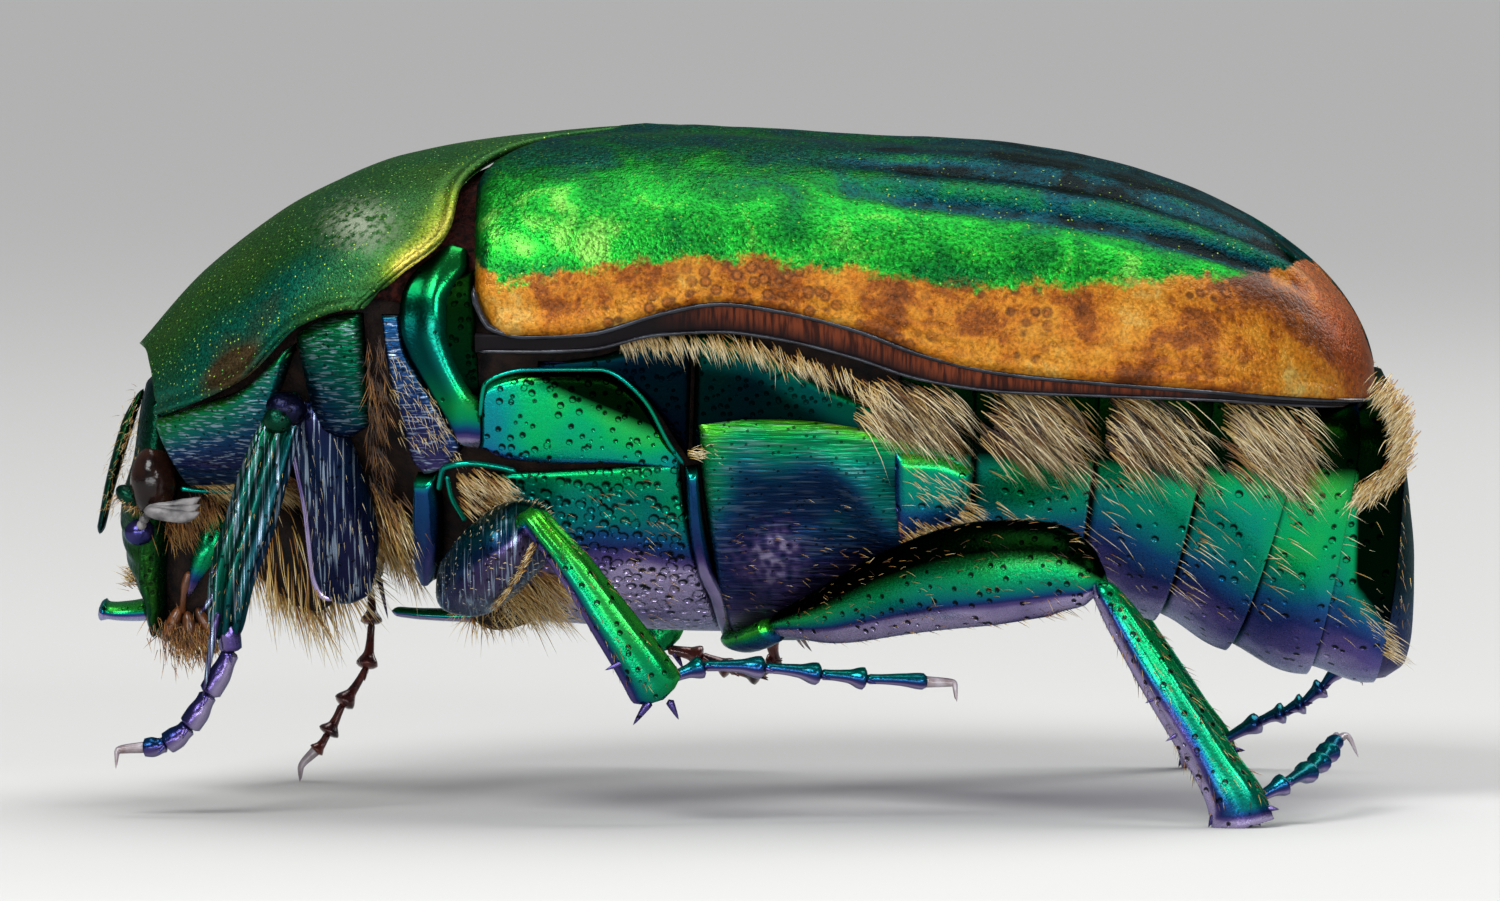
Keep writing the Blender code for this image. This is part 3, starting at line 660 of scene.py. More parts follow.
# a darker, duller copy of the pitted shell: painted shade for plates high on the flank
darkPitted = metalShell("darkPittedShell", pitsPerMm=6.0, pitSize=0.35, dim=0.35, roughness=0.4, coat=0.0,
                        specular=0.15)
scaledMaterial = metalShell("scaledShell", pitsPerMm=4.4, pitSize=0.5, pitDepth=0.08, darken=0.97, drift=0.14,
                            dim=1.5)
tailMaterial = metalShell("tailShell", pitsPerMm=5.0, pitSize=0.3, dim=0.6, roughness=0.45, metallic=0.6,
                          coat=0.0, specular=0.1)
strokedMaterial = metalShell("strokedShell", pitsPerMm=6.0, fine=5.0, grainDepth=0.07, dim=0.9,
                             stretch=(0.25, 1, 3.4), drift=0.12, strokes=(5.0, 0.14))
legMaterial = metalShell("legShell", pitsPerMm=4.0, pitSize=0.26, pitDepth=0.05, drift=0.06, roughness=0.24,
                         darken=0.95)
darkLegMaterial = metalShell("darkLegShell", pitsPerMm=5.0, pitSize=0.25, drift=0.06, roughness=0.26, dim=0.4,
                             stretch=(3.4, 0.25, 0.1), strokes=(6.0, 0.7))
# dark red-brown horn: painted shade for the far front and middle feet
shadedRedFootMaterial = plainShell("shadedRedFoot", (0.10, 0.022, 0.016), (0.02, 0.008, 0.012), roughness=0.22,
                            metallic=0.4, scale=3.0, coat=0.2)
darkMaterial = plainShell("darkMembrane", (0.016, 0.009, 0.007), (0.004, 0.0035, 0.004), roughness=0.7,
                          scale=3.0, depth=0.03, specular=0.08)
clawMaterial = plainShell("clawHorn", (0.30, 0.27, 0.30), (0.10, 0.06, 0.06), roughness=0.22, scale=2.5,
                          coat=0.2)
eyeMaterial = plainShell("eyeHorn", (0.022, 0.008, 0.005), (0.004, 0.002, 0.002), roughness=0.16, scale=1.6,
                         depth=0.006, specular=0.25)
feelerMaterial = plainShell("feelerHorn", (0.2, 0.19, 0.19), (0.014, 0.013, 0.016), scale=2.6, specular=0.4)
amberMaterial = plainShell("amberHorn", (0.12, 0.035, 0.008), (0.03, 0.01, 0.004), roughness=0.35, coat=0.1)
# a near-black sheet: painted shade in the groove behind the shield
hingeShadeMaterial = plainShell("hingeShadeSheet", (0.035, 0.008, 0.006), (0.003, 0.002, 0.002), roughness=0.7,
                           scale=8.0, depth=0.05, specular=0.04)
rimMaterial = plainShell("rimHorn", (0.03, 0.034, 0.045), (0.006, 0.006, 0.01), roughness=0.2, metallic=0.6,
                         coat=0.2)
say("materials are ready")


# shell plates

bandEdge = profile((-5.6, 19), (-5, 12.6), (-3.6, 15), (-0.2, 12.3), (2.8, 16.4), (6.8, 23), (8.8, 32),
                   (10.4, 50), (11.2, 90))
wingLook = {
    "rows": 170, "columns": 72, "grooves": (59, 43), "grooveDepth": 0.1, "grooveWidth": 4.0,
    "bead": 0.07, "shoulder": 0.16, "tailBump": 0.12,
}
flapDepth = profile((-5.6, 0.34), (-4.0, 0.34), (-2.4, 0.4), (-0.8, 0.6), (1.8, 0.6), (4.8, 0.4), (8.8, 0.2),
                    (12.35, 0.14))
flapWall = 0.08


def wingFront(angle):
    return max(wing["front"] + 0.4 * clamp(1 - angle / 11) ** 2, shieldHind(angle) + 0.07)


def wingRelief(x, angle):
    # ribs, grooves and bumps, as a height over the plain shell
    look = wingLook
    rear = smooth(0.2, 3.5, x) * (1 - smooth(10.2, 11.2, x))
    height = 0.0
    for centre in look["grooves"]:
        height -= look["grooveDepth"] * rear * hump(angle, centre, look["grooveWidth"])
        height += look["grooveDepth"] * 0.5 * rear * hump(angle, centre + 8, look["grooveWidth"])
    height += 0.06 * hump(angle, 88, 2.4) - 0.035 * hump(angle, 81, 3.0)
    height += look["shoulder"] * hump(x, -4.5, 1.1) * hump(angle, 36, 13)
    height += look["tailBump"] * hump(x, 10.4, 0.9) * hump(angle, 49, 12)
    height += (look["bead"] * hump(angle, 1.6, 1.5) - 0.05 * hump(angle, 5.2, 1.8)) * smooth(12.0, 10.6, x)
    height += 0.022 * wobble((x, angle / 12, 0), 1.1, 3.0)
    height += 0.02 * wobble((x * 1.5, angle / 14, 0), 0.5, 7.0) * smooth(0.5, -2.5, x)
    near = clamp((x - wingFront(angle)) / 0.4)
    height -= 0.3 * (1 - math.sqrt(1 - (1 - near) ** 2))
    return height


def addWing(side):
    look = wingLook

    def grid(s, t):
        angle = 90 * (1 - (1 - t) ** 0.9)
        start = wingFront(angle)
        return lerp(start, lerp(start, wing["end"], 0.9985), math.sin(s * math.pi / 2)), angle

    def place(s, t):
        x, angle = grid(s, t)
        spot = wingPoint(x, angle)
        facing = outward(lambda a, b: wingPoint(a, clamp(b, 0, 90)), min(x, wing["end"] - 0.06),
                         clamp(angle, 1, 89), right)
        fade = 1 - smooth(0.985, 1.0, s)
        spot = spot + facing * wingRelief(x, angle) * fade
        spot.y = max(spot.y, 0.0) + wing["sutureGap"]
        return onSide(spot, side)

    def tone(s, t):
        x, angle = grid(s, t)
        # painted light and shade in the tone: darker towards the top, a painted highlight on the shoulder,
        # and painted shade at the very front and in the grooves
        value = lerp(0.28, 0.62, smooth(24, 74, angle)) + 0.22 * smooth(1.0, 6.0, x) * smooth(30, 50, angle)
        value -= 0.2 * hump(x, -4.2, 1.6) * hump(angle, 30, 16)
        value += 0.25 * hump(x, -4.6, 0.9) * hump(angle, 16, 4)
        value += 0.15 * smooth(-5.2, -5.7, x)
        grooves = hump(angle, 59, 3.5) + hump(angle, 43, 3.0) + 0.8 * hump(angle, 71, 3.0)
        value += 0.5 * smooth(0.5, 3.5, x) * grooves
        return clamp(value)

    # ochre below a line along the side, red-brown at the tip
    bm = bmesh.new()
    verts = addGrid(bm, look["rows"], look["columns"], place, tone, outFrom=(0, 6))
    bandLayer = bm.verts.layers.float["band"]
    tipLayer = bm.verts.layers.float["tip"]
    for v in verts:
        x = v.co.x
        flank = wingPoint(min(x, wing["end"] - 0.05), 90)
        rise = clamp((v.co.z - rimLine(x)) / max(flank.z - rimLine(x), 0.05))
        angle = math.degrees(math.asin(clamp(rise ** (1 / squareness))))
        v[bandLayer] = (bandEdge(x) - angle) / 14
        v[tipLayer] = smooth(11.3, 12.5, x + 0.02 * angle)
    piece = finishPiece("wingCase" + sideName(side), bm, wingMaterial, "velvet_green",
                        [cadName("wingCase", side)], sheet=True)
    thicken(piece, wing["thickness"])

    # a dark bead follows the lower rim, and a finer one the edge of the flap
    steps = (-4.6, -3.4, -2.0, -0.8, 0.4, 1.8, 3.2, 4.8, 6.8, 8.8, 10.2, 11.2, 11.9, 12.25, 12.4)
    corner = [(wingFront(angle) + 0.03, angle) for angle in (12, 8, 4, 1.5)]
    rim = [wingPoint(x, angle) + Vector((0, -0.04, -0.03)) for x, angle in corner + [(x, 0) for x in steps]]
    fold = [wingPoint(x, 0) - Vector((0, 0.04 + 0.5 * flapDepth(x), flapDepth(x)))
            for x in (-5.6, *steps[:-2])]
    bm = bmesh.new()
    for line, thick in ((rim, 0.07), (fold, 0.045)):
        addRod(bm, line, side, [(0, thick), (1, thick * 0.8)], ends=0.01, rows=120, columns=8)
    closeEnds(bm)
    finishPiece("wingRim" + sideName(side), bm, rimMaterial, "velvet_green")

    # the turned-in flap below the rim, black in front and red-brown behind
    def flap(s, t):
        x = lerp(-5.62, 12.36, math.sin(s * math.pi / 2))
        deep = flapDepth(x)
        spot = wingPoint(x, 0)
        return onSide(Vector((x, max(spot.y - 0.04 - 0.6 * t * deep, 0.0), spot.z - 0.02 - t * deep)), side)

    bm = bmesh.new()
    addGrid(bm, 120, 10, flap, outFrom=(0, 14),
            tone=lambda s, t: smooth(0.12, 0.2, s) * smooth(0.62, 0.5, s) * smooth(1.0, 0.3, t))
    thicken(finishPiece("wingFlap" + sideName(side), bm, flapMaterial, "velvet_green", sheet=True), flapWall)


shieldLook = {"rows": 110, "columns": 170, "bead": 0.08, "beadGroove": 0.05, "thickness": 0.22}


def addShield():
    look = shieldLook

    def grid(s, t):
        turn = 180 * t
        angle = min(turn, 180 - turn)
        start = shieldFront(angle)
        end = shieldHind(angle) - 0.03
        return lerp(start, end, s), angle, turn

    def relief(x, angle, s):
        height = look["bead"] * hump(angle, 1.2, 1.4) - look["beadGroove"] * hump(angle, 5.0, 2.2)
        height += 0.05 * hump(s, 1.0, 0.02) * smooth(4, 12, angle) - 0.04 * hump(s, 0.955, 0.02)
        height += 0.03 * wobble((x, angle / 10, 4), 1.4, 9.0) - 0.1 * hump(x, -8.4, 0.8) * hump(angle, 12, 8)
        height -= 0.12 * smooth(0.985, 1.0, s)
        return height

    def place(s, t):
        x, angle, turn = grid(s, t)
        side = left if turn <= 90 else right
        spot = onSide(shieldPoint(x, angle), side)
        facing = outward(lambda a, b: shieldPoint(a, clamp(b, 0, 90)), clamp(x, -12.5, -2.6),
                         clamp(angle, 1, 89), side)
        return spot + facing * relief(x, angle, s)

    def tone(s, t):
        x, angle, turn = grid(s, t)
        value = 0.46 + 0.3 * smooth(40, 5, angle) * smooth(-8.5, -11.5, x)
        value += 0.2 * hump(x, -9.6, 1.6) * hump(angle, 24, 14)
        # a painted highlight: the tone drops to gold along the hind margin
        value -= 0.4 * smooth(0.84, 0.98, s) * smooth(4, 16, angle) * smooth(62, 40, angle)
        value += 0.12 * hump(s, 0.5, 0.2) * smooth(35, 10, angle)
        value += 0.4 * hump(x, -10.6, 0.5) * hump(angle, 5, 5)
        return clamp(value)

    def scuff(s, t):
        # a pale scuff on the left shoulder only
        spot = place(s, t)
        return hump(spot.x, -7.95, 0.62) * hump(spot.z, 11.8, 0.4) if t < 0.5 else 0.0

    bm = bmesh.new()
    addGrid(bm, look["rows"], look["columns"], place, tone, outFrom=(0, 6), dark=scuff)
    piece = finishPiece("thoraxShield", bm, shieldMaterial, "velvet_green", ["thorax_shield"], sheet=True)
    thicken(piece, look["thickness"])


hingeLook = {"half": 0.9, "start": 4, "rows": 16, "columns": 120, "thickness": 0.1}


def addHinge():
    # a dark sheet in the groove between the shield and the wing cases: painted shade
    look = hingeLook

    def place(s, t):
        turn = lerp(look["start"], 180 - look["start"], t)
        angle = min(turn, 180 - turn)
        x = shieldHind(angle) + lerp(-look["half"], look["half"], s)
        spot = shieldPoint(x, angle, 0.34 + 0.5 * abs(s - 0.5) + 0.3 * smooth(56, 42, angle))
        return onSide(spot, left if turn <= 90 else right)

    bm = bmesh.new()
    addGrid(bm, look["rows"], look["columns"], place, outFrom=(0, 6))
    thicken(finishPiece("hingeShadeSheet", bm, hingeShadeMaterial, "velvet_green", sheet=True), look["thickness"])


addShield()
addHinge()
for side in (left, right):
    addWing(side)
say("shield and wing cases are ready")


# the body under the shell

facingTone = profile((-1, 0.97), (-0.8, 0.84), (-0.6, 0.66), (-0.4, 0.5), (-0.2, 0.38), (0, 0.3), (0.3, 0.2),
                     (0.7, 0.14), (1, 0.1))


plateWall = 0.12


def downTone(facing, shift=0.0):
    # green where the shell faces up, blue and lilac where it faces down; the pale lilac where it faces
    # straight down is a painted highlight
    return clamp(facingTone(facing.z) + shift, 0.1)


def addPlate(bm, edgeA, edgeB, side, lift=0.12, rows=40, columns=24, rim=0.22, shift=0.0, relief=None,
             sink=0.08, shade=None):
    # a raised plate on the flank between two edges, each a few (x, z) points seen from the side
    pathA, pathB = [pathThrough([(x, angleAt(x, z) / 10, 0) for x, z in edge]) for edge in (edgeA, edgeB)]

    def spot(s, t):
        both = pathA(s).lerp(pathB(s), t)
        return both.x, both.y * 10

    sizes = []
    for a, b in (((0, 0.5), (1, 0.5)), ((0.5, 0), (0.5, 1))):
        sizes.append(max((trunkPoint(*spot(*b)) - trunkPoint(*spot(*a))).length, 0.05))

    def lifted(s, t):
        x, angle = spot(s, t)
        base = trunkPoint(x, angle)
        facing = outward(trunkPoint, x, clamp(angle, -88, 88), right)
        near = min(min(s, 1 - s) * sizes[0], min(t, 1 - t) * sizes[1]) / rim
        rise = math.sqrt(1 - (1 - clamp(near)) ** 2) * (lift + sink) - sink
        if relief:
            rise += relief(x, base.z) * smooth(0, 1.5, near)
        return base + facing * rise, facing

    def place(s, t):
        return onSide(lifted(s, t)[0], side)

    def tone(s, t):
        step = 0.02
        here, skin = lifted(s, t)
        a = lifted(min(s + step, 1), t)[0] - lifted(max(s - step, 0), t)[0]
        b = lifted(s, min(t + step, 1))[0] - lifted(s, max(t - step, 0))[0]
        facing = a.cross(b)
        facing = facing.normalized() if facing.length > 1e-6 else Vector((0, 1, 0))
        if facing.dot(skin) < 0:
            facing = -facing
        extra = shift(here.x, here.z) if callable(shift) else shift
        return downTone(facing.lerp(skin, 0.5), extra)

    # painted shade: dark along the plate's edges, where it meets its neighbours, and wherever shade(x, z)
    # asks
    def dark(s, t):
        here = lifted(s, t)[0]
        near = min(min(s, 1 - s) * sizes[0], min(t, 1 - t) * sizes[1])
        return max(0.9 * smooth(0.07, 0.0, near), shade(here.x, here.z) if shade else 0.0)

    addGrid(bm, rows, columns, place, tone, outFrom=(0, bodyAxis), dark=dark)


def addBelt(name, front, hind, high, material, slot, cadNodes, rows, columns, step, shift, dent=None,
            shade=None):
    # a ring plate round the underside, from high on the left down and up to high on the right
    def grid(s, t):
        turn = lerp(high, -180 - high, t)
        angle = turn if turn >= -90 else -180 - turn
        side = left if turn >= -90 else right
        return lerp(front(angle), hind(angle), s), angle, side

    def lifted(s, t):
        x, angle, side = grid(s, t)
        facing = outward(trunkPoint, x, clamp(angle, -88, 88), side)
        rise = step * smooth(0.15, 0.9, s) - 1.25 * step * smooth(0.97, 1.0, s) - 0.06 * smooth(0.03, 0.0, s)
        if dent:
            rise += dent(x, angle, s)
        return onSide(trunkPoint(x, angle), side) + facing * rise, facing, x, angle

    def tone(s, t):
        _, facing, x, angle = lifted(s, t)
        return downTone(facing, shift(x, angle))

    # painted shade along the ring's front and hind seams, and wherever shade asks
    def dark(s, t):
        seam = max(smooth(0.15, 0.06, s), smooth(0.975, 1.0, s))
        return max(seam, shade(lifted(s, t)[0])) if shade else seam

    bm = bmesh.new()
    addGrid(bm, rows, columns, lambda s, t: lifted(s, t)[0], tone, outFrom=(0, bodyAxis), dark=dark)
    thicken(finishPiece(name, bm, material, slot, cadNodes, sheet=True), plateWall)


def slanted(x, lean):
    return lambda angle: x + lean * math.sin(math.radians(min(angle, 0)))


def moved(seam, by):
    return lambda angle: seam(angle) + by


def addCore():
    # the dark body inside, seen only in the seams and folds; its near-black colour paints the shade in them
    def place(s, t):
        x = lerp(-11.9, 12.3, s)
        turn = 360 * t
        angle = turn - 90 if turn <= 180 else 270 - turn
        side = left if turn <= 180 else right
        spot = trunkPoint(x, angle, 0.3)
        shut = clamp(min(s, 1 - s) / 0.02) ** 0.5
        middle = Vector((x, 0, (rimLine(x) + bellyLine(x)) / 2))
        return middle + (onSide(spot, side) - middle) * shut

    bm = bmesh.new()
    addGrid(bm, 120, 80, place)
    finishPiece("innerBody", bm, darkMaterial, "metallic_green",
                ["middle_thorax", "hind_thorax", "hind_thorax_back", "abdomen_ring_1", "front_thorax"])


abdomenSeams = [slanted(4.3, 0.3), slanted(6.75, 0.4), slanted(9.0, 0.9), slanted(10.75, 1.2),
                slanted(11.85, 0.7)]


def ringTone(x, angle):
    return 0.2 * smooth(-30, -80, angle) - 0.12 - 0.08 * hump(angle, -32, 10)


def ringShade(spot):
    # dark along the top, and behind a slanting line on the last ring
    behind = smooth(11.8, 11.95, spot.x) * smooth(-0.2, 0.3, spot.z - 4.4 + 1.3 * (spot.x - 11.9))
    return max(smooth(6.7, 7.4, spot.z + 0.05 * (spot.x - 5)), 0.97 * behind)


def addAbdomen():
    starts = [slanted(2.9, 0.4)] + abdomenSeams
    ends = abdomenSeams + [slanted(12.75, 0.25)]
    for number, (front, hind) in enumerate(zip(starts, ends), start=1):
        addBelt(f"bellyRing{number}", moved(front, -0.12), hind, 50 if number > 4 else 14, bodyMaterial,
                "metallic_green", [f"abdomen_ring_{number}"] if number > 1 else (), rows=34, columns=120,
                step=0.2, shift=ringTone, dent=lambda x, angle, s: 0.06 * math.sin(math.pi * s),
                shade=ringShade)


breast = {"lift": 0.12, "rim": 0.16}


def addFlank():
    # the plates of the breast, left and right
    crescentRight = profile((7.34, -5.64), (8.28, -5.6), (8.68, -5.76), (9.18, -6.0), (9.68, -6.14),
                            (10.18, -6.14), (11.48, -5.7))

    # a painted highlight: a granular lilac patch on the hip plate
    def lilacHighlight(x, z):
        return hump(x, 0.25, 0.9) * hump(z, 5.25, 0.8) * clamp(0.7 + 0.8 * wobble((x, z, 0), 0.13, 4.0))

    rearTop = profile((-1.3, 9.72), (-0.2, 9.5), (0.8, 8.9), (1.8, 8.4), (2.6, 8.1), (3.4, 7.74), (4.2, 7.24))
    plates = {
        "shoulderCrescent": (smoothMaterial, "metallic_teal", ["side_plate_left", "side_plate_right"], [(
            [(-5.98, 11.3), (-6.44, 11.1), (-6.86, 10.82), (-7.1, 10.38), (-7.16, 9.78), (-7.0, 9.28),
             (-6.7, 8.78), (-6.3, 8.14), (-5.96, 7.58), (-5.76, 7.38)],
            [(-5.78, 11.24), (-5.78, 10.94), (-5.98, 10.58), (-6.14, 10.18), (-6.14, 9.68), (-6.0, 9.18),
             (-5.76, 8.68), (-5.56, 8.28), (-5.54, 7.78), (-5.62, 7.34)],
            {"lift": 0.2, "rim": 0.2, "relief": lambda x, z: 0.09 * hump(crescentRight(z) - x, 0.3, 0.26),
             "rows": 80, "columns": 26,
             "shift": lambda x, z: 0.14 - 0.22 * hump(z, 8.2, 0.5) + 0.38 * smooth(8.0, 7.5, z),
             "shade": lambda x, z: 0.36 + 0.36 * smooth(0.3, 0.6, crescentRight(z) - x)
             - 0.2 * hump(z, 8.2, 0.6)}),
            ([(-6.82, 6.82), (-6.86, 5.98), (-6.82, 5.18), (-6.6, 4.58)],
             [(-6.42, 6.82), (-6.32, 6.18), (-6.34, 5.38), (-6.52, 4.58)],
             {"lift": 0.3, "rim": 0.2, "shift": 0.06})]),
        # painted shade all over: a dark pitted plate in the hollow just in front of the wing case
        "shoulderHollow": (darkPitted, "metallic_teal", (), [(
            [(-6.1, 10.7), (-6.3, 10.2), (-6.3, 9.6), (-6.1, 9.0), (-5.8, 8.5)],
            [(-5.62, 10.9), (-5.6, 10.2), (-5.58, 9.6), (-5.56, 9.0), (-5.54, 8.4)],
            {"lift": 0.1, "rows": 36, "shade": lambda x, z: 0.8})]),
        "collarPlate": (wrinkledMaterial, "metallic_blue", (), [(
            [(-7.5, 10.02), (-7.42, 9.38), (-7.3, 8.58), (-7.1, 7.78), (-6.9, 7.08), (-6.6, 6.78)],
            [(-7.14, 10.02), (-7.04, 9.38), (-6.66, 8.68), (-6.22, 7.98), (-5.9, 7.42), (-6.16, 7.02)],
            {"lift": 0.1, "shift": 0.3, "rows": 50})]),
        "sidePlate": (sideMaterial, "metallic_green", (), [(
            [(-5.48, 8.18), (-5.38, 8.66), (-4.6, 8.9), (-3.2, 8.9), (-2.4, 8.38), (-1.86, 7.46),
             (-1.56, 7.14)],
            [(-5.56, 7.42), (-5.0, 7.16), (-4.0, 7.07), (-2.8, 7.07), (-1.9, 7.04), (-1.7, 7.03),
             (-1.56, 7.02)],
            {"lift": 0.2, "rim": 0.2, "rows": 80, "columns": 36,
             "shift": lambda x, z: -0.14 + 0.24 * smooth(-4.4, -5.4, x) + 0.1 * smooth(7.5, 7.1, z),
             "shade": lambda x, z: 0.97 * smooth(-0.22, 0.22, z - 8.42 + 0.42 * (x + 3.8))})]),
        # painted shade over the plate, eased along its top edge into a lighter band, a painted highlight
        "darkSidePlate": (darkPitted, "metallic_green", (), [(
            [(-4.4, 9.04), (-3.2, 9.2), (-2.4, 9.46), (-1.34, 9.7)],
            [(-4.4, 8.98), (-3.1, 8.92), (-2.26, 8.36), (-1.42, 7.12)],
            {"lift": 0.16, "rows": 50, "columns": 26, "shift": 0.2,
             "shade": lambda x, z: 0.75
             - 0.5 * hump(z, rearTop(x) if x > -1.3 else 9.65 + 0.2 * (x + 1.3), 0.22)})]),
        # painted shade below a lighter band along the top edge, a painted highlight
        "rearPlate": (darkPitted, "metallic_green", (), [(
            [(-1.26, 9.72), (-0.2, 9.5), (0.8, 8.9), (1.8, 8.4), (2.6, 8.1), (3.4, 7.74), (4.16, 7.24)],
            [(-1.34, 7.2), (-0.6, 7.7), (0.4, 7.8), (1.4, 7.76), (2.4, 7.6), (3.4, 7.4), (4.2, 7.12)],
            {"lift": 0.16, "rows": 80, "columns": 30, "shift": 0.08,
             "shade": lambda x, z: 0.2 + 0.55 * smooth(0.4, 0.85, rearTop(x) - z)})]),
        # painted shade over the hip plate below its top band, deeper behind the ridge, and eased on the ridge
        # and on the lilac patch
        "hipPlate": (strokedMaterial, "metallic_blue", ["hind_hip_left", "hind_hip_right"], [(
            [(-1.3, 7.94), (0.0, 8.06), (1.4, 7.98), (2.8, 7.74), (3.8, 7.38), (4.28, 7.1)],
            [(-0.46, 3.3), (0.2, 3.3), (1.0, 3.36), (1.8, 3.5), (2.3, 3.6), (2.5, 3.7)],
            {"lift": 0.3, "rim": 0.26, "rows": 110, "columns": 90,
             "relief": lambda x, z: -0.3 * hump(x, 0.9, 1.2) * hump(z, 6.1, 0.9)
             + 0.2 * hump(x + 0.75 * (z - 6.2), 2.3, 0.45) * smooth(7.6, 6.8, z)
             + 0.05 * wobble((x, z, 0), 0.35, 4.0) * hump(x, 0.5, 1.1) * hump(z, 5.3, 1.0),
             "shift": lambda x, z: -0.1 * smooth(6.9, 7.4, z)
             - 0.2 * smooth(-0.2, -1.1, x) * smooth(5.6, 6.6, z)
             + 0.34 * lilacHighlight(x, z),
             "shade": lambda x, z: 0.45 * smooth(7.1, 6.6, z) * smooth(-0.8, -0.2, x) * (1 - lilacHighlight(x, z))
             * (1 - 0.7 * hump(x + 0.75 * (z - 6.2), 2.3, 0.5))
             + 0.3 * smooth(2.6, 3.2, x + 0.75 * (z - 6.2)) * smooth(7.1, 6.6, z)})]),
        "rearLobe": (bodyMaterial, "metallic_teal", (), [(
            [(2.6, 7.46), (3.4, 7.4), (4.26, 7.06)],
            [(2.62, 5.6), (3.3, 5.86), (4.16, 6.16)],
            {"lift": 0.52, "rim": 0.3, "rows": 50, "columns": 50,
             "shift": lambda x, z: -0.1 + 0.55 * hump(x, 2.6, 0.16) + 0.14 * smooth(6.4, 5.9, z)})]),
        "breastStrip": (smoothMaterial, "metallic_teal", (), [(
            [(-1.5, 6.96), (-1.46, 5.98), (-1.3, 4.98), (-1.02, 4.28), (-0.82, 3.6)],
            [(-1.22, 7.0), (-1.12, 5.98), (-0.92, 4.98), (-0.64, 4.38), (-0.44, 3.6)],
            {"lift": 0.26, "rim": 0.16, "rows": 60, "columns": 12,
             "shift": lambda x, z: 0.12 + 0.4 * smooth(5.4, 4.2, z)})]),
        "collarSide": (wrinkledMaterial, "metallic_blue", (), [(
            [(-11.96, 7.85), (-11.2, 8.15), (-10.3, 8.5), (-9.7, 8.99), (-9.2, 9.45)],
            [(-11.54, 6.75), (-11.1, 6.71), (-10.6, 6.71), (-10.2, 6.85), (-9.9, 7.6)],
            {"lift": 0.36, "rim": 0.2, "rows": 60, "columns": 36,
             "shift": lambda x, z: -0.04 - 0.2 * smooth(6.95, 6.75, z)}),
            ([(-9.2, 9.6), (-8.6, 9.95), (-7.86, 10.05)],
             [(-8.84, 7.75), (-8.3, 7.55), (-7.7, 7.8)],
             {"lift": 0.3, "rim": 0.4, "rows": 36, "columns": 40, "shade": lambda x, z: 0.45})]),
    }
    for name, (material, slot, cadNodes, parts) in plates.items():
        bm = bmesh.new()
        for side in (left, right):
            for edgeA, edgeB, look in parts:
                addPlate(bm, edgeA, edgeB, side, **{**breast, **look})
        thicken(finishPiece(name, bm, material, slot, cadNodes, sheet=True), plateWall)

    # thin raised ridges along the seams
    bm = bmesh.new()
    ridges = [
        ([(-5.52, 8.0), (-5.42, 8.66), (-4.6, 8.96), (-3.2, 8.98), (-2.36, 8.44), (-1.8, 7.5), (-1.5, 7.1)],
         0.045, 0.24),
        ([(-11.6, 6.7), (-11.1, 6.66), (-10.6, 6.66), (-10.15, 6.7)], 0.05, 0.34),
        ([(-6.3, 6.6), (-6.2, 7.04), (-5.7, 7.14), (-5.1, 7.06), (-4.8, 6.98)], 0.06, 0.2),
        ([(-6.14, 6.9), (-6.06, 6.5), (-5.8, 6.0)], 0.05, 0.2),
    ]
    for side in (left, right):
        for points, thick, rise in ridges:
            spots = [(x, angleAt(x, z)) for x, z in points]
            spots = [trunkPoint(*spot) + outward(trunkPoint, *spot, right) * rise for spot in spots]
            addRod(bm, spots, side, [(0, thick), (1, thick)], ends=0.03, rows=50, columns=8,
                   tone=lambda s, facing: 0.4)
    closeEnds(bm)
    finishPiece("breastRidges", bm, smoothMaterial, "metallic_teal")


def addBreast():
    # the breastbone plate and the small spine that points forward from it
    seam = profile((-90, -0.62), (-75, -0.75), (-60, -1.0), (-45, -1.3), (-32, -1.52), (-24, -1.6))
    addBelt("breastPlate", lambda angle: -5.45, seam, -26, scaledMaterial, "metallic_teal", (),
            rows=70, columns=110, step=0.12, shift=lambda x, angle: -0.16 + 0.46 * smooth(-36, -58, angle))
    bm = bmesh.new()
    addRod(bm, [(-7.48, 0, 3.78), (-6.8, 0, 3.72), (-6.0, 0, 3.7), (-5.2, 0, 3.72)], right,
           [(0, 0.25), (0.3, 0.5), (1, 0.62)], [(0, 0.1), (1, 0.16)], ends=0.06, rows=40, columns=20,
           tone=lambda s, facing: downTone(facing, 0.1))
    closeEnds(bm)
    finishPiece("breastSpine", bm, smoothMaterial, "metallic_green", ["breast_spine"])


tail = {"low": 2.45, "high": 8.7, "curl": 0.7, "cells": 60, "thickness": 0.15}
tailBack = profile((2.45, 12.7), (2.75, 13.08), (3.4, 13.22), (4.5, 13.26), (7.1, 13.02), (8.14, 12.86),
                   (8.7, 12.6))
tailWidth = profile((2.45, 0.9), (3.0, 1.9), (4.0, 2.8), (5.0, 3.4), (6.2, 3.8), (7.2, 3.85), (8.14, 3.3),
                    (8.7, 2.2))


def addTail():
    def place(s, t):
        z = lerp(tail["low"], tail["high"], t)
        across = lerp(-1, 1, s)
        x = tailBack(z) - tail["curl"] * abs(across) ** 2.6 + 0.02 * wobble((across * 3, z, 0), 0.9, 2.0)
        return Vector((x, across * tailWidth(z), z))

    bm = bmesh.new()
    # painted shade over all but the lowest part of the tail plate
    addGrid(bm, tail["cells"], tail["cells"], place, lambda s, t: clamp(1 - 1.6 * t),
            dark=lambda s, t: 0.8 * smooth(0.14, 0.34, t))
    bm.normal_update()
    if sum(f.normal.x for f in bm.faces) < 0:
        bmesh.ops.reverse_faces(bm, faces=bm.faces)
    piece = finishPiece("tailPlate", bm, tailMaterial, "metallic_green", ["tail_plate"], sheet=True)
    thicken(piece, tail["thickness"])


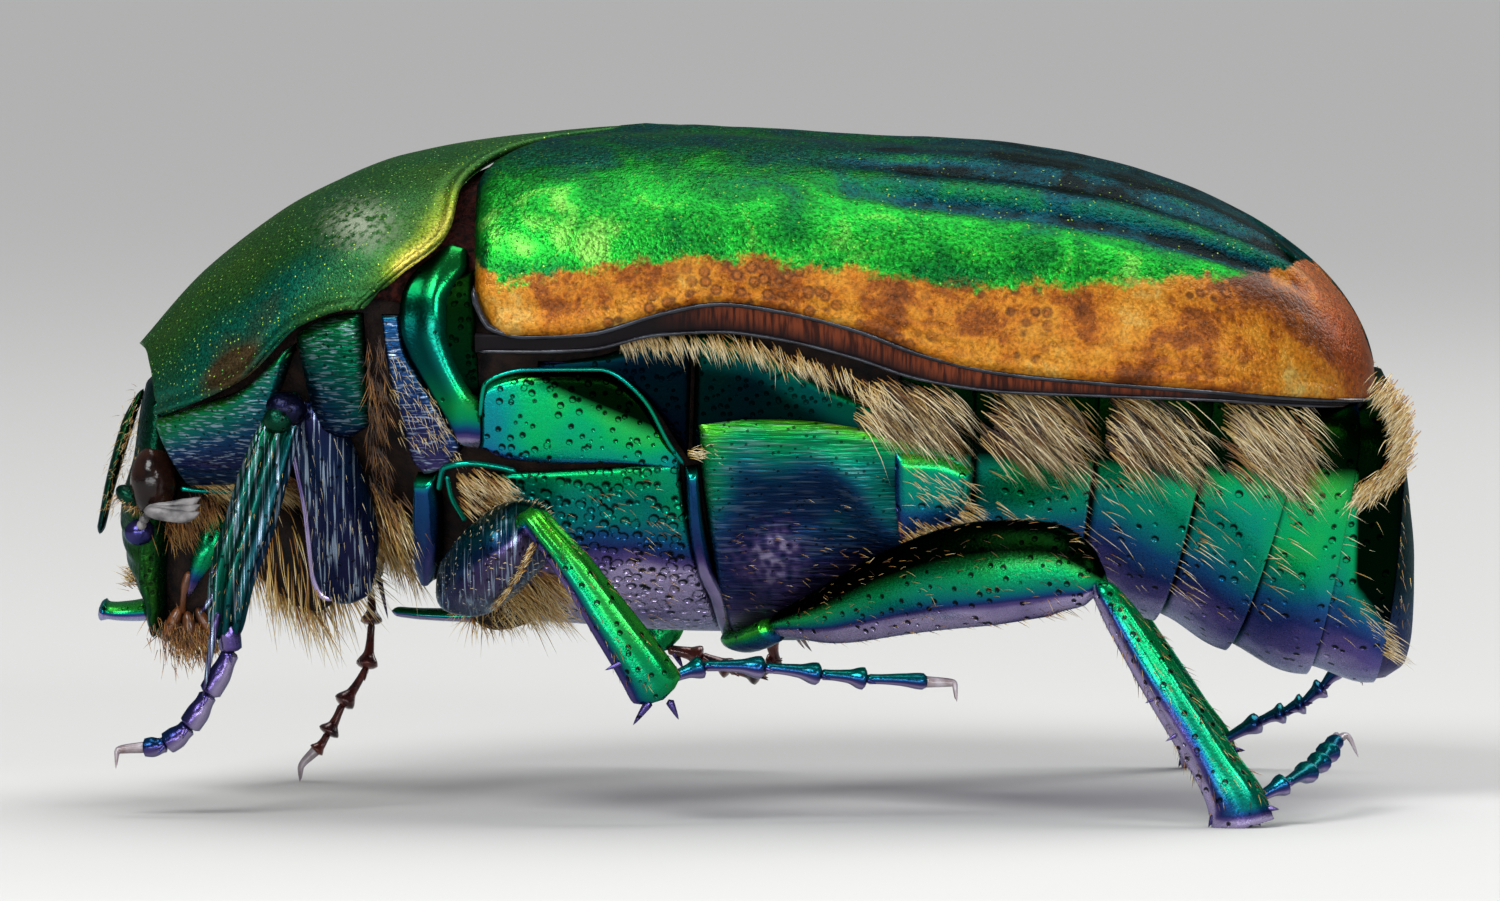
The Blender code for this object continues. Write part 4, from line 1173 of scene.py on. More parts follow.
addCore()
addFlank()
addBreast()
addAbdomen()
addTail()
say("breast and abdomen are ready")


# legs

limbSkin = {}   # where the hairs of each limb grow

limbs = {
    "frontHip": {"material": "dark", "wide": (1, 0, 0.5),
                 "points": [(-10.2, 1.0, 6.4), (-10.0, 1.3, 6.0), (-9.5, 1.6, 5.2), (-8.95, 2.0, 4.5),
                            (-8.6, 2.3, 4.2)],
                 "width": [0.5, 0.7, 0.85, 0.6, 0.4], "depth": [0.5, 0.6, 0.7, 0.5, 0.35]},
    "frontThigh": {"wide": (1, 0, 0.2), "ridge": (0.02, 2),
                   "tones": [(-1, 0.8), (-0.3, 0.72), (0.1, 0.64), (0.5, 0.5), (1, 0.4)],
                   "rimTurn": 180, "shade": 0.5, "material": "dim",
                   "points": [(-8.3, 2.6, 4.1), (-8.3, 2.9, 4.7), (-8.3, 3.3, 5.4), (-8.5, 3.85, 6.6),
                              (-8.85, 4.35, 7.8), (-9.05, 4.5, 8.25)],
                   "width": [0.42, 0.6, 0.66, 0.62, 0.5, 0.34], "depth": [0.2, 0.32, 0.4, 0.42, 0.34, 0.26]},
    "frontShin": {"wide": (1, 0, 0), "ridge": (0.05, 4), "shift": 0.16,
                  "shade": 0.5, "material": "dim", "grooves": 0.8,
                  "points": {left: [(-9.2, 4.6, 8.45), (-9.35, 4.75, 8.1), (-9.7, 4.95, 7.2),
                                    (-10.1, 5.0, 5.9), (-10.5, 5.0, 4.6), (-10.62, 4.96, 3.45)],
                             right: [(-9.1, 4.8, 8.4), (-9.05, 4.95, 8.0), (-8.95, 5.1, 7.2),
                                     (-8.6, 5.0, 6.0), (-8.3, 4.8, 4.9), (-8.06, 4.65, 3.95)]},
                  "width": [0.26, 0.32, 0.42, 0.46, 0.4, 0.26], "depth": [0.2, 0.22, 0.26, 0.28, 0.26, 0.2]},
    "middleHip": {"material": "dark", "wide": (1, 0, 0.2),
                  "points": [(-5.0, 1.3, 3.75), (-5.1, 1.9, 3.95), (-5.2, 2.5, 4.15), (-5.4, 3.3, 4.55)],
                  "width": [0.6, 0.7, 0.7, 0.5], "depth": [0.26, 0.34, 0.36, 0.3]},
    "middleThigh": {"wide": (1, 0, 0.9), "ridge": (0.02, 3),
                    "tones": [(-1, 0.94), (-0.5, 0.85), (-0.25, 0.7), (0.1, 0.6), (0.5, 0.5), (1, 0.45)],
                    "shade": 0.5, "material": "dim",
                    "points": [(-5.55, 3.5, 4.5), (-5.5, 3.9, 4.65), (-5.4, 4.6, 4.95), (-5.1, 5.5, 5.35),
                               (-4.8, 6.2, 5.7), (-4.6, 6.5, 5.85)],
                    "width": [0.6, 0.9, 1.24, 1.26, 0.9, 0.45], "depth": [0.4, 0.6, 0.78, 0.8, 0.58, 0.3]},
    "middleShin": {"slot": "metallic_green", "wide": (1, 0, 0.6), "ridge": (0.03, 3),
                   "tones": [(-1, 0.9), (-0.5, 0.85), (-0.2, 0.4), (0.1, 0.24), (0.5, 0.16), (1, 0.2)],
                   "points": [(-4.8, 6.1, 5.6), (-4.45, 6.55, 6.0), (-4.15, 6.76, 5.7), (-3.65, 6.95, 5.1),
                              (-2.95, 7.0, 4.1), (-2.3, 6.95, 3.15), (-1.9, 6.88, 2.5)],
                   "width": [0.2, 0.27, 0.28, 0.34, 0.42, 0.5, 0.56],
                   "depth": [0.2, 0.26, 0.24, 0.27, 0.28, 0.28, 0.24]},
    "hindJoint": {"slot": "metallic_green", "wide": (1, 0, 0), "shift": -0.3,
                  "points": [(-0.5, 1.1, 3.3), (-0.3, 1.6, 3.3), (-0.1, 2.1, 3.38), (0.3, 2.7, 3.6)],
                  "width": [0.34, 0.42, 0.4, 0.34], "depth": [0.2, 0.25, 0.25, 0.24]},
    "hindThigh": {"slot": "metallic_green", "wide": (0, 0, 1), "shade": 0.97,
                  "shadeFrom": (-0.05, 0.3),
                  "tones": [(-1, 0.9), (-0.7, 1.0), (-0.42, 0.97), (-0.24, 0.5), (0.0, 0.3), (0.4, 0.18),
                            (1, 0.3)],
                  "points": [(0.2, 2.5, 3.66), (0.6, 2.95, 3.76), (1.5, 3.8, 4.0), (2.8, 4.75, 4.5),
                             (4.4, 5.6, 4.9), (5.7, 6.15, 5.02), (6.5, 6.48, 4.86), (6.85, 6.6, 4.78)],
                  "width": [0.2, 0.32, 0.62, 0.88, 1.04, 0.94, 0.56, 0.3],
                  "depth": [0.2, 0.27, 0.42, 0.5, 0.54, 0.48, 0.34, 0.2]},
    "hindShin": {"slot": "metallic_green", "wide": (1, 0, 0), "ridge": (0.03, 3), "shift": 0.04,
                 "tones": [(-1, 0.98), (-0.3, 1.0), (-0.1, 0.7), (0.06, 0.34), (0.5, 0.26), (1, 0.34)],
                 "points": [(6.6, 6.66, 4.85), (6.9, 6.76, 4.42), (7.4, 6.85, 3.65), (8.15, 7.0, 2.45),
                            (8.95, 7.05, 1.2), (9.35, 7.1, 0.5), (9.5, 7.1, 0.0)],
                 "width": [0.2, 0.28, 0.36, 0.42, 0.46, 0.56, 0.62],
                 "depth": [0.18, 0.25, 0.28, 0.3, 0.3, 0.28, 0.24], "openEnd": True, "endTone": 0.7},
}


def keepOffFloor(bm):
    for v in bm.verts:
        v.co.z = max(v.co.z, 0.0)


def addLimb(name, look, side, rims):
    points = look["points"][side] if isinstance(look["points"], dict) else look["points"]
    path = pathThrough([onSide(p, side) for p in points])
    width, depth = (rounded(list(zip(shares(points), look[size])), 0.05, openEnd=look.get("openEnd", False))
                    for size in ("width", "depth"))
    high, count = look.get("ridge", (0.0, 2))
    wide = onSide(look["wide"], side)

    def edge(s, turn):
        rough = 0.012 * wobble((s * 8, math.cos(turn) * 2, math.sin(turn) * 2), 1.0, 5.0)
        return high * math.cos(2 * count * turn) * smooth(0.0, 0.2, s) * smooth(1.0, 0.9, s) + rough

    # the pale lilac that the tones give to faces that turn down is a painted highlight
    tones = profile(*look["tones"]) if "tones" in look else facingTone

    def tone(s, facing):
        clouds = 0.08 * wobble((s * 3, facing.x, facing.z), 1.0, 1.0)
        value = tones(facing.z) + look.get("shift", 0.0) + clouds
        return clamp(value + look.get("endTone", 0.0) * smooth(0.93, 1.0, s), 0.12)

    def skin(s, turn):
        spot = path(s)
        _, across, up = frameAlong(path, s, wide)
        w, d = width(s), depth(s)
        extra = edge(s, turn)
        place = spot + across * math.cos(turn) * (w + extra) + up * math.sin(turn) * (d + extra)
        facing = across * math.cos(turn) * d + up * math.sin(turn) * w
        along = (path(min(s + 0.02, 1)) - path(max(s - 0.02, 0))).normalized()
        return place, facing.normalized() if facing.length else up, along

    # painted shade: dark in the grooves between the ridges, and on the upper side as shade and shadeFrom ask
    def dark(s, turn):
        groove = (0.45 - 0.45 * math.cos(2 * count * turn)) * look.get("grooves", 0.0)
        shade = look.get("shade", 0.0) * smooth(*look.get("shadeFrom", (0.35, 0.85)), skin(s, turn)[1].z)
        return groove + shade

    limbSkin[name, side] = skin
    bm = bmesh.new()
    addTube(bm, path, width, depth, wide, rows=64, columns=48, tone=tone, edge=edge, dark=dark)
    keepOffFloor(bm)
    if "rimTurn" in look:
        # a raised smooth rim along one edge of the blade, painted pale as a highlight
        turn = math.radians(look["rimTurn"])
        bends = ((0.04, 0.9), (0.06, 0.35), (0.14, 0), (0.3, 0), (0.5, 0), (0.7, 0), (0.9, 0))
        spots = [skin(t, turn + bend) for t, bend in bends]
        addRod(rims, [place + facing * 0.02 for place, facing, _ in spots], right,
               [(0, 0.07), (0.5, 0.065), (1, 0.05)], wide=wide, rows=60, columns=10,
               tone=lambda s, facing: 0.97)
    return bm


def addSpike(bm, base, tip, radius, bend=(0, 0, 0), tone=0.8, rows=8, columns=6):
    def thick(t):
        return radius * max(1 - t, 0.0) ** 0.7 if t > 0 else 0.0

    middle = (Vector(base) + Vector(tip)) / 2 + Vector(bend)
    addTube(bm, pathThrough([base, middle, tip]), thick, thick, (0.1, 1, 0.1), rows=rows, columns=columns,
            tone=lambda s, facing: tone)
    keepOffFloor(bm)


shinSpikes = {
    # base, tip and half width of each tooth and spur
    "frontShin": {left: [((-10.75, 5.0, 4.5), (-11.12, 5.05, 4.05), 0.12),
                         ((-10.72, 5.1, 4.3), (-11.06, 5.15, 2.3), 0.12),
                         ((-10.4, 5.0, 5.1), (-10.95, 5.05, 4.85), 0.1)],
                  right: [((-8.2, 4.9, 4.3), (-8.5, 5.0, 3.8), 0.12),
                          ((-7.9, 4.5, 4.2), (-7.7, 4.4, 3.3), 0.07)]},
    "middleShin": {side: [((-2.15, 6.9, 2.5), (-2.5, 6.95, 2.0), 0.12),
                          ((-1.8, 6.8, 2.5), (-1.6, 6.85, 2.1), 0.1),
                          ((-2.6, 7.1, 3.3), (-3.05, 7.2, 3.1), 0.09)] for side in (left, right)},
    "hindShin": {side: [((9.0, 7.1, 0.5), (8.8, 7.15, 0.0), 0.12),
                        ((9.75, 7.1, 0.4), (10.2, 7.12, 0.36), 0.12),
                        ((9.6, 6.9, 0.3), (9.85, 6.85, 0.0), 0.09), ((8.3, 7.1, 1.9), (7.95, 7.2, 1.7), 0.07),
                        ((7.9, 7.05, 2.6), (7.55, 7.15, 2.45), 0.06)] for side in (left, right)},
}

feet = {
    "frontFoot": {"broad": {left: 1.0, right: -0.4},
                  left: [(-10.62, 4.95, 4.1), (-10.5, 4.9, 3.3), (-10.95, 4.85, 2.45),
                         (-11.35, 4.8, 1.8), (-11.8, 4.75, 1.45), (-12.25, 4.7, 1.38)],
                  right: [(-8.08, 4.55, 3.95), (-8.05, 4.4, 3.2), (-8.15, 4.2, 2.3), (-8.65, 4.0, 1.55),
                          (-8.95, 3.9, 0.95), (-9.2, 3.85, 0.6)],
                  "claws": {left: [(-12.8, 4.4, 1.0), (-12.78, 5.05, 0.98)],
                            right: [(-9.5, 3.5, 0.0), (-9.5, 4.2, 0.0)]}},
    "middleFoot": {left: [(-1.9, 6.85, 2.85), (-1.1, 6.7, 3.15), (0.1, 6.5, 3.1), (1.2, 6.3, 2.95),
                          (2.1, 6.15, 2.85), (3.3, 5.95, 2.78)],
                   right: [(-1.9, 6.85, 2.5), (-1.2, 6.75, 2.35), (-0.6, 6.6, 2.1), (0.0, 6.4, 2.0),
                           (0.35, 6.15, 2.3), (0.25, 5.95, 2.85)],
                   "claws": {left: [(3.86, 5.6, 2.4), (3.88, 6.2, 2.4)],
                             right: [(0.95, 5.6, 2.6), (1.1, 6.25, 2.5)]}},
    "hindFoot": {left: [(9.7, 7.0, 0.5), (10.35, 6.7, 0.84), (10.85, 5.85, 1.0), (11.1, 5.3, 1.15),
                        (11.3, 4.75, 1.3), (11.45, 4.2, 1.45)],
                 right: [(9.7, 7.0, 0.55), (10.5, 6.75, 1.0), (11.0, 6.6, 1.2), (11.4, 6.5, 1.4),
                         (11.8, 6.4, 1.75), (12.1, 6.3, 2.1)],
                 "claws": {left: [(11.35, 3.6, 1.1), (11.95, 3.75, 1.1)],
                           right: [(12.6, 5.95, 1.8), (12.6, 6.65, 1.8)]}},
}


def addFoot(look, side):
    # four short joints that widen to their ends and a long one; the two hooked claws are made by addClaws
    points = [Vector(onSide(p, side)) for p in look[side]]
    bm = bmesh.new()
    for number, (a, b) in enumerate(zip(points, points[1:])):
        last = number == 4
        broad = look.get("broad", {}).get(side, 0.0)
        start, end = (0.14 + 0.08 * broad, 0.2 + 0.02 * broad) if last else (0.15 + 0.1 * broad, 0.27)
        across = (b - a).cross(Vector((0, 1, 0.01))).normalized()
        path = pathThrough([a - (b - a) * 0.05, a.lerp(b, 0.5) + across * 0.02, b + (b - a) * 0.03])
        size = rounded([(0, start * 0.9), (0.2, start * 0.85), (0.6, start * 1.1), (0.88, end),
                        (1, end * 0.9)], 0.08, 0.6)
        addTube(bm, path, size, lambda t, size=size: size(t) * 0.85, (0, 1, 0.1), rows=20, columns=12,
                tone=lambda s, facing: downTone(facing, 0.34 + 0.2 * broad))
        if not last:
            for turn in (-1, 1):
                tip = b + (b - a).normalized() * 0.2 + Vector((0, turn * end * 1.2, -0.05))
                addSpike(bm, b + Vector((0, turn * end * 0.7, 0)), tip, 0.05)
    return bm


def addClaws(look, side):
    base = Vector(onSide(look[side][-1], side))
    before = Vector(onSide(look[side][-2], side))
    bm = bmesh.new()
    for tip in look["claws"][side]:
        tip = Vector(onSide(tip, side))
        lean = (tip - base).normalized()
        out = (base - before).normalized()
        bend = out * 0.26 + (out - lean) * 0.12 + Vector((0, 0, 0.12))
        addSpike(bm, base - out * 0.08, tip, 0.12, bend, rows=18, columns=10)
    return bm


def addLegs():
    kinds = {"dark": darkMaterial, "metal": legMaterial, "dim": darkLegMaterial}
    rims = bmesh.new()
    for side in (left, right):
        for name, look in limbs.items():
            bm = addLimb(name, look, side, rims)
            for base, tip, radius in shinSpikes.get(name, {}).get(side, ()):
                addSpike(bm, onSide(base, side), onSide(tip, side), radius, tone=0.85)
            closeEnds(bm)
            finishPiece(name + sideName(side), bm, kinds[look.get("material", "metal")],
                        look.get("slot", "metallic_blue"), [cadName(name, side)])
        for name, look in feet.items():
            # painted shade: the far front and middle feet take the dark red-brown horn instead of the foot
            # shell
            shadedFarFoot = side == right and name != "hindFoot"
            finishPiece(name + sideName(side), addFoot(look, side),
                        shadedRedFootMaterial if shadedFarFoot else footMaterial,
                        "metallic_blue", [cadName(name, side)])
            finishPiece(name[:-4] + "Claws" + sideName(side), addClaws(look, side), clawMaterial,
                        "metallic_blue")
    closeEnds(rims)
    finishPiece("thighRims", rims, smoothMaterial, "metallic_blue")
    bm = bmesh.new()
    for side, knee in ((left, (-9.38, 4.95, 8.12)), (right, (-9.06, 4.95, 8.1))):
        addBlob(bm, onSide(knee, side), (0.42, 0.34, 0.34), tilt=20, tone=0.7)
        addBlob(bm, onSide(knee, side) + Vector((-0.16, 0.14 * side, -0.2)), (0.3, 0.26, 0.28), tone=0.3)
    finishPiece("frontKnees", bm, headMaterial, "metallic_blue")


addLegs()
say("legs are ready")


# head

headShape = {"low": 3.2, "high": 8.75, "eye": ((-12.2, 2.0, 6.52), (0.46, 0.54, 0.72))}
headFront = profile((3.2, -12.16), (3.6, -12.42), (4.08, -12.5), (4.88, -12.8), (5.78, -12.94), (6.3, -12.86),
                    (7.0, -12.66), (7.8, -12.55), (8.75, -12.35))
headBack = profile((3.2, -12.1), (4.2, -11.95), (5.4, -11.8), (8.75, -11.6))
headWidth = profile((3.2, 1.0), (3.9, 1.5), (5.2, 1.68), (6.0, 2.0), (7.0, 2.2), (8.0, 2.0), (8.75, 1.3))


def addHead():
    def place(s, t):
        z = lerp(headShape["low"], headShape["high"], s)
        turn = 2 * math.pi * t
        front, back, wide = headFront(z), headBack(z), headWidth(z)
        shut = clamp(min(s, 1 - s) / 0.05) ** 0.5
        x = (front + back) / 2 - (back - front) / 2 * math.cos(turn) * shut
        y = wide * math.copysign(abs(math.sin(turn)) ** 0.6, math.sin(turn)) * shut
        where = smooth(3.4, 3.8, z) * smooth(5.9, 5.4, z) * smooth(-12.0, -12.5, x)
        folds = 0.025 * math.sin(z * 14 + abs(y) * 5) * where
        return Vector((x - folds, y, z))

    bm = bmesh.new()
    addGrid(bm, 110, 100, place,
            lambda s, t: clamp(0.2 + 0.22 * smooth(0.55, 0.8, s) + 0.3 * smooth(0.5, 0.0, abs(t - 0.5) * 2)))
    # the rim of the lip plate, and a small shield in front of each eye
    for side in (left, right):
        edge = [(-12.1, 1.62, 5.9), (-12.42, 1.6, 5.4), (-12.44, 1.5, 4.6), (-12.3, 1.4, 3.95),
                (-12.25, 1.0, 3.3)]
        addRod(bm, edge, side, [(0, 0.08), (0.5, 0.1), (1, 0.07)], rows=30, columns=8,
               tone=lambda s, facing: downTone(facing, -0.1))
        addBlob(bm, onSide((-12.66, 1.86, 6.2), side), (0.34, 0.3, 0.2), tilt=35, tone=0.3)
    closeEnds(bm)
    finishPiece("headShell", bm, headMaterial, "metallic_green", ["head"])

    bm = bmesh.new()
    # the long flat horn on the brow, and the upturned one on the lip
    horn = [(-12.5, 0, 8.3), (-12.78, 0, 7.7), (-13.0, 0, 7.0), (-13.19, 0, 6.3), (-13.34, 0, 5.6),
            (-13.4, 0, 5.34)]
    addRod(bm, horn, right, [(0, 0.3), (0.3, 0.42), (0.8, 0.34), (1, 0.26)],
           [(0, 0.06), (0.3, 0.13), (1, 0.08)],
           rows=60, columns=24, tone=lambda s, facing: clamp(0.16 + 0.3 * s))
    closeEnds(bm)
    finishPiece("browHorn", bm, headMaterial, "metallic_green", ["brow_horn"])

    bm = bmesh.new()
    lip = [(-12.3, 0, 3.84), (-12.7, 0, 3.79), (-13.0, 0, 3.78), (-13.25, 0, 3.8), (-13.42, 0, 3.84)]
    addRod(bm, lip, right, [(0, 1.0), (0.5, 0.72), (0.8, 0.7), (1, 0.85)],
           [(0, 0.24), (0.5, 0.2), (0.8, 0.18), (1, 0.32)], ends=0.1, rows=40, columns=28,
           tone=lambda s, facing: clamp(downTone(facing, 0.08) + 0.36 * smooth(0.75, 1.0, s)))
    closeEnds(bm)
    finishPiece("lipHorn", bm, bodyMaterial, "metallic_green", ["lip_horn"])


def addEyes():
    centre, radii = headShape["eye"]
    for side in (left, right):
        bm = bmesh.new()
        addBlob(bm, onSide(centre, side), radii, segments=64, rings=48)
        finishPiece("eye" + sideName(side), bm, eyeMaterial, "eye_brown", [cadName("eye", side)])


def addFeelers():
    for side in (left, right):
        bm = bmesh.new()
        chain = [(-12.42, 2.2, 5.66), (-12.36, 2.34, 5.78), (-12.28, 2.44, 5.86), (-12.2, 2.5, 5.9)]
        for number, spot in enumerate(chain):
            addBlob(bm, onSide(spot, side), (0.1, 0.08, 0.1 - number * 0.01), tone=0.8, segments=12, rings=8)
        # three leaves side by side
        for number, (out, rise) in enumerate(((0.0, 0.06), (0.12, 0.0), (0.24, -0.06))):
            leaf = [(-12.36, 2.42 + out, 5.98), (-11.9, 2.56 + out, 5.96 + rise),
                    (-11.5, 2.58 + out, 5.98 + rise * 2), (-11.2, 2.56 + out, 6.1 + rise * 2.4)]
            addRod(bm, leaf, side, [(0, 0.08), (0.3, 0.13), (0.65, 0.13), (1, 0.03)],
                   [(0, 0.04), (0.4, 0.06), (1, 0.03)], ends=0.1, wide=(0, 0.2, 1), rows=28, columns=16,
                   tone=lambda s, facing: 0.8)
        finishPiece("feeler" + sideName(side), bm, feelerMaterial, "feeler_grey", [cadName("feeler", side)])
        bm = bmesh.new()
        addBlob(bm, onSide((-12.48, 1.9, 5.5), side), (0.31, 0.3, 0.27), tilt=-15, tone=0.78, segments=32,
                rings=20)
        finishPiece("feelerRoot" + sideName(side), bm, footMaterial, "feeler_grey")


def addMouth():
    bm = bmesh.new()
    addBlob(bm, (-11.4, 0, 5.0), (0.94, 1.56, 1.85))
    finishPiece("chin", bm, darkMaterial, "mouth_brown", ["mouthparts"])
    bm = bmesh.new()
    for side in (left, right):
        for centre, radii, tilt in (((-11.86, 1.2, 3.6), (0.14, 0.2, 0.4), 24),
                                    ((-11.5, 1.3, 3.45), (0.15, 0.2, 0.42), -8),
                                    ((-11.2, 1.3, 3.62), (0.12, 0.18, 0.36), -28),
                                    ((-11.68, 0.7, 3.3), (0.26, 0.3, 0.24), 0)):
            addBlob(bm, onSide(centre, side), radii, tilt=tilt)
        for chain in ([(-11.66, 1.2, 3.8), (-11.62, 1.5, 4.2), (-11.5, 1.6, 4.7)],
                      [(-11.3, 1.3, 3.4), (-11.2, 1.45, 3.1), (-11.12, 1.5, 2.8)]):
            addRod(bm, chain, side, [(0, 0.07), (0.5, 0.06), (0.7, 0.09), (1, 0.07)], ends=0.08, rows=20,
                   columns=10)
    finishPiece("palps", bm, amberMaterial, "mouth_brown")
    bm = bmesh.new()
    for side in (left, right):
        cheek = [(-10.86, 1.2, 5.95), (-11.0, 1.44, 5.5), (-11.2, 1.56, 5.0), (-11.42, 1.54, 4.5),
                 (-11.56, 1.4, 4.15)]
        addRod(bm, cheek, side, [(0, 0.14), (0.4, 0.26), (0.8, 0.12), (1, 0.05)],
               [(0, 0.1), (0.4, 0.2), (1, 0.05)],
               ends=0.06, wide=(1, 0, 0.3), rows=40, columns=16,
               tone=lambda s, facing: clamp(0.3 + 0.6 * smooth(0.6, 0.9, s)))
    finishPiece("cheekSpindle", bm, legMaterial, "metallic_green")


addHead()
addEyes()
addFeelers()
addMouth()
say("head is ready")


# hairs

# every hair is a thin curved spike; one joined mesh for each group
hairLook = {"stations": (0.0, 0.3, 0.65), "sides": 3, "patch": 0.003}
dice = random.Random(7)


def addHairs(name, roots):
    # roots: place, facing, direction, length, half width, sag, tone, (u, v)
    stations = np.array(hairLook["stations"])
    sides = hairLook["sides"]
    place, facing, lie, length, thick, sag, tone, spot = (np.array(column, float) for column in zip(*roots))
    length, thick = length[:, None], thick[:, None]
    across = np.cross(lie, facing)
    across /= np.maximum(np.linalg.norm(across, axis=1, keepdims=True), 1e-9)
    up = np.cross(across, lie)
    rows = []
    for t in stations:
        middle = place + lie * length * t + sag * length * t * t
        wide = thick * (1 - t) ** 0.6
        for k in range(sides):
            turn = 2 * math.pi * k / sides
            rows.append(middle + across * wide * math.cos(turn) + up * wide * math.sin(turn))
    rows.append(place + lie * length + sag * length)
    verts = np.stack(rows, axis=1).reshape(-1, 3) * mm
    verts[:, 2] = np.maximum(verts[:, 2], 0.0)

    # the faces of one hair, with the place of each corner on its patch of the map
    each, last = len(rows), len(stations) - 1
    faces, marks = [], []
    for k in range(sides):
        after = (k + 1) % sides
        for ring in range(last):
            a = ring * sides
            faces.append((a + k, a + after, a + sides + after, a + sides + k))
            marks += [(ring, k), (ring, k + 1), (ring + 1, k + 1), (ring + 1, k)]
        faces.append((last * sides + k, last * sides + after, each - 1))
        marks += [(last, k), (last, k + 1), (last + 1, k + 0.5)]
    faces.append(tuple(reversed(range(sides))))
    marks += [(0, k) for k in reversed(range(sides))]

    every = [tuple(i + n * each for i in face) for n in range(len(roots)) for face in faces]
    mesh = bpy.data.meshes.new(name)
    mesh.from_pydata(verts.tolist(), [], every)
    flat = np.array(marks, float) / np.array([last + 1, sides]) * hairLook["patch"]
    mesh.uv_layers.new(name="OFBake").data.foreach_set("uv", (spot[:, None, :] + flat[None]).reshape(-1))
    along = np.array([t for t in stations for _ in range(sides)] + [1.0])
    values = mesh.attributes.new("tone", "FLOAT", "POINT")
    values.data.foreach_set("value", (tone[:, None] + 0.5 * (0.5 - along)[None]).reshape(-1))
    mesh.materials.append(hairMaterial)
    mesh.shade_smooth()
    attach(addObject(name, mesh), "root")


def hairAt(place, facing, lie, look, where):
    # one hair that leans from the skin towards lie
    facing = facing.normalized()
    lie = Vector(lie) + look.get("extra", Vector()) + gauss3(look.get("scatter", 0.2))
    flat = lie - facing * lie.dot(facing)
    flat = flat.normalized() if flat.length > 1e-6 else Vector((0, 0, -1))
    lift = math.radians(dice.uniform(*look.get("lift", (10, 30))))
    direction = flat * math.cos(lift) + facing * math.sin(lift)
    length = dice.uniform(*look["length"])
    sag = Vector(look.get("sag", (0, 0, -0.15))) + gauss3(0.06)
    shade = look.get("shade")
    tone = clamp(dice.uniform(*look["tone"]) if shade is None else shade + dice.gauss(0, 0.1))
    thick = look.get("thick", 0.016) * dice.uniform(0.7, 1.2)
    return place, facing, direction, length, thick, sag, tone, where


def gauss3(spread):
    return Vector([dice.gauss(0, spread) for _ in range(3)])


def mapSpot(along, around, side):
    # the root's place on the skin's own map: the left side below, the right side above
    return 0.05 + 0.9 * along, 0.02 + 0.45 * around + (0.0 if side == left else 0.5)


def edgeLine(look, edge):
    # the height of a region's edge: one at each end of x, or points of its own
    line = look[edge]
    return profile(*(line if isinstance(line[0], tuple) else zip(look["x"], line)))


def trunkHairs(side, look):
    # hairs over a region of the trunk: x from first to last, z between two curves
    made = []
    top, bottom = edgeLine(look, "top"), edgeLine(look, "bottom")
    clump = look.get("clump", 1)
    for number in range(look["count"]):
        if number % clump == 0:
            middle = (dice.uniform(*look["x"]), dice.random())
            drift = gauss3(look.get("comb", 0.0))
            shade = dice.uniform(*look["tone"])
            look = {**look, "extra": drift, "shade": shade if clump > 1 else None}
        x = clamp(middle[0] + dice.gauss(0, 0.07) * (clump > 1), *look["x"])
        z = lerp(bottom(x), top(x), middle[1]) + dice.gauss(0, 0.07) * (clump > 1)
        angle = angleAt(x, z)
        facing = outward(trunkPoint, x, clamp(angle, -88, 88), side)
        place = onSide(trunkPoint(x, angle), side) + facing * look.get("rise", 0.0)
        where = mapSpot((x + 14) / 28, (angle + 95) / 190, side)
        made.append(hairAt(place, facing, onSide(look["lie"], side), look, where))
    return made


def lineHairs(points, side, look):
    # hairs along a line, all leaning the same way
    made = []
    path = pathThrough([onSide(p, side) for p in points])
    facing = onSide(look.get("facing", (0, 1, 0)), side)
    for _ in range(look["count"]):
        t = dice.random()
        place = path(t) + gauss3(look.get("blur", 0.05))
        where = (0.05 + 0.9 * (place.x + 14) / 28, 0.2 + place.z / 60 + (0.0 if side == left else 0.4))
        made.append(hairAt(place, facing, onSide(look["lie"], side), look, where))
    return made


def limbHairs(name, side, look):
    # hairs on a limb, lying towards its far end
    made = []
    for _ in range(look["count"]):
        s = dice.uniform(0.08, 0.94)
        turn = side * math.radians(dice.uniform(0, 360))
        place, facing, along = limbSkin[name, side](s, turn)
        lie = along * look.get("down", 1.0) + onSide(look.get("lean", (0, 0, 0)), side)
        made.append(hairAt(place - facing * 0.02, facing, lie, look,
                           mapSpot(s, (turn / (2 * math.pi)) % 1.0, side)))
    return made


cream = (0.0, 0.2)
gold = (0.25, 0.45)
pale = (0.0, 0.12)

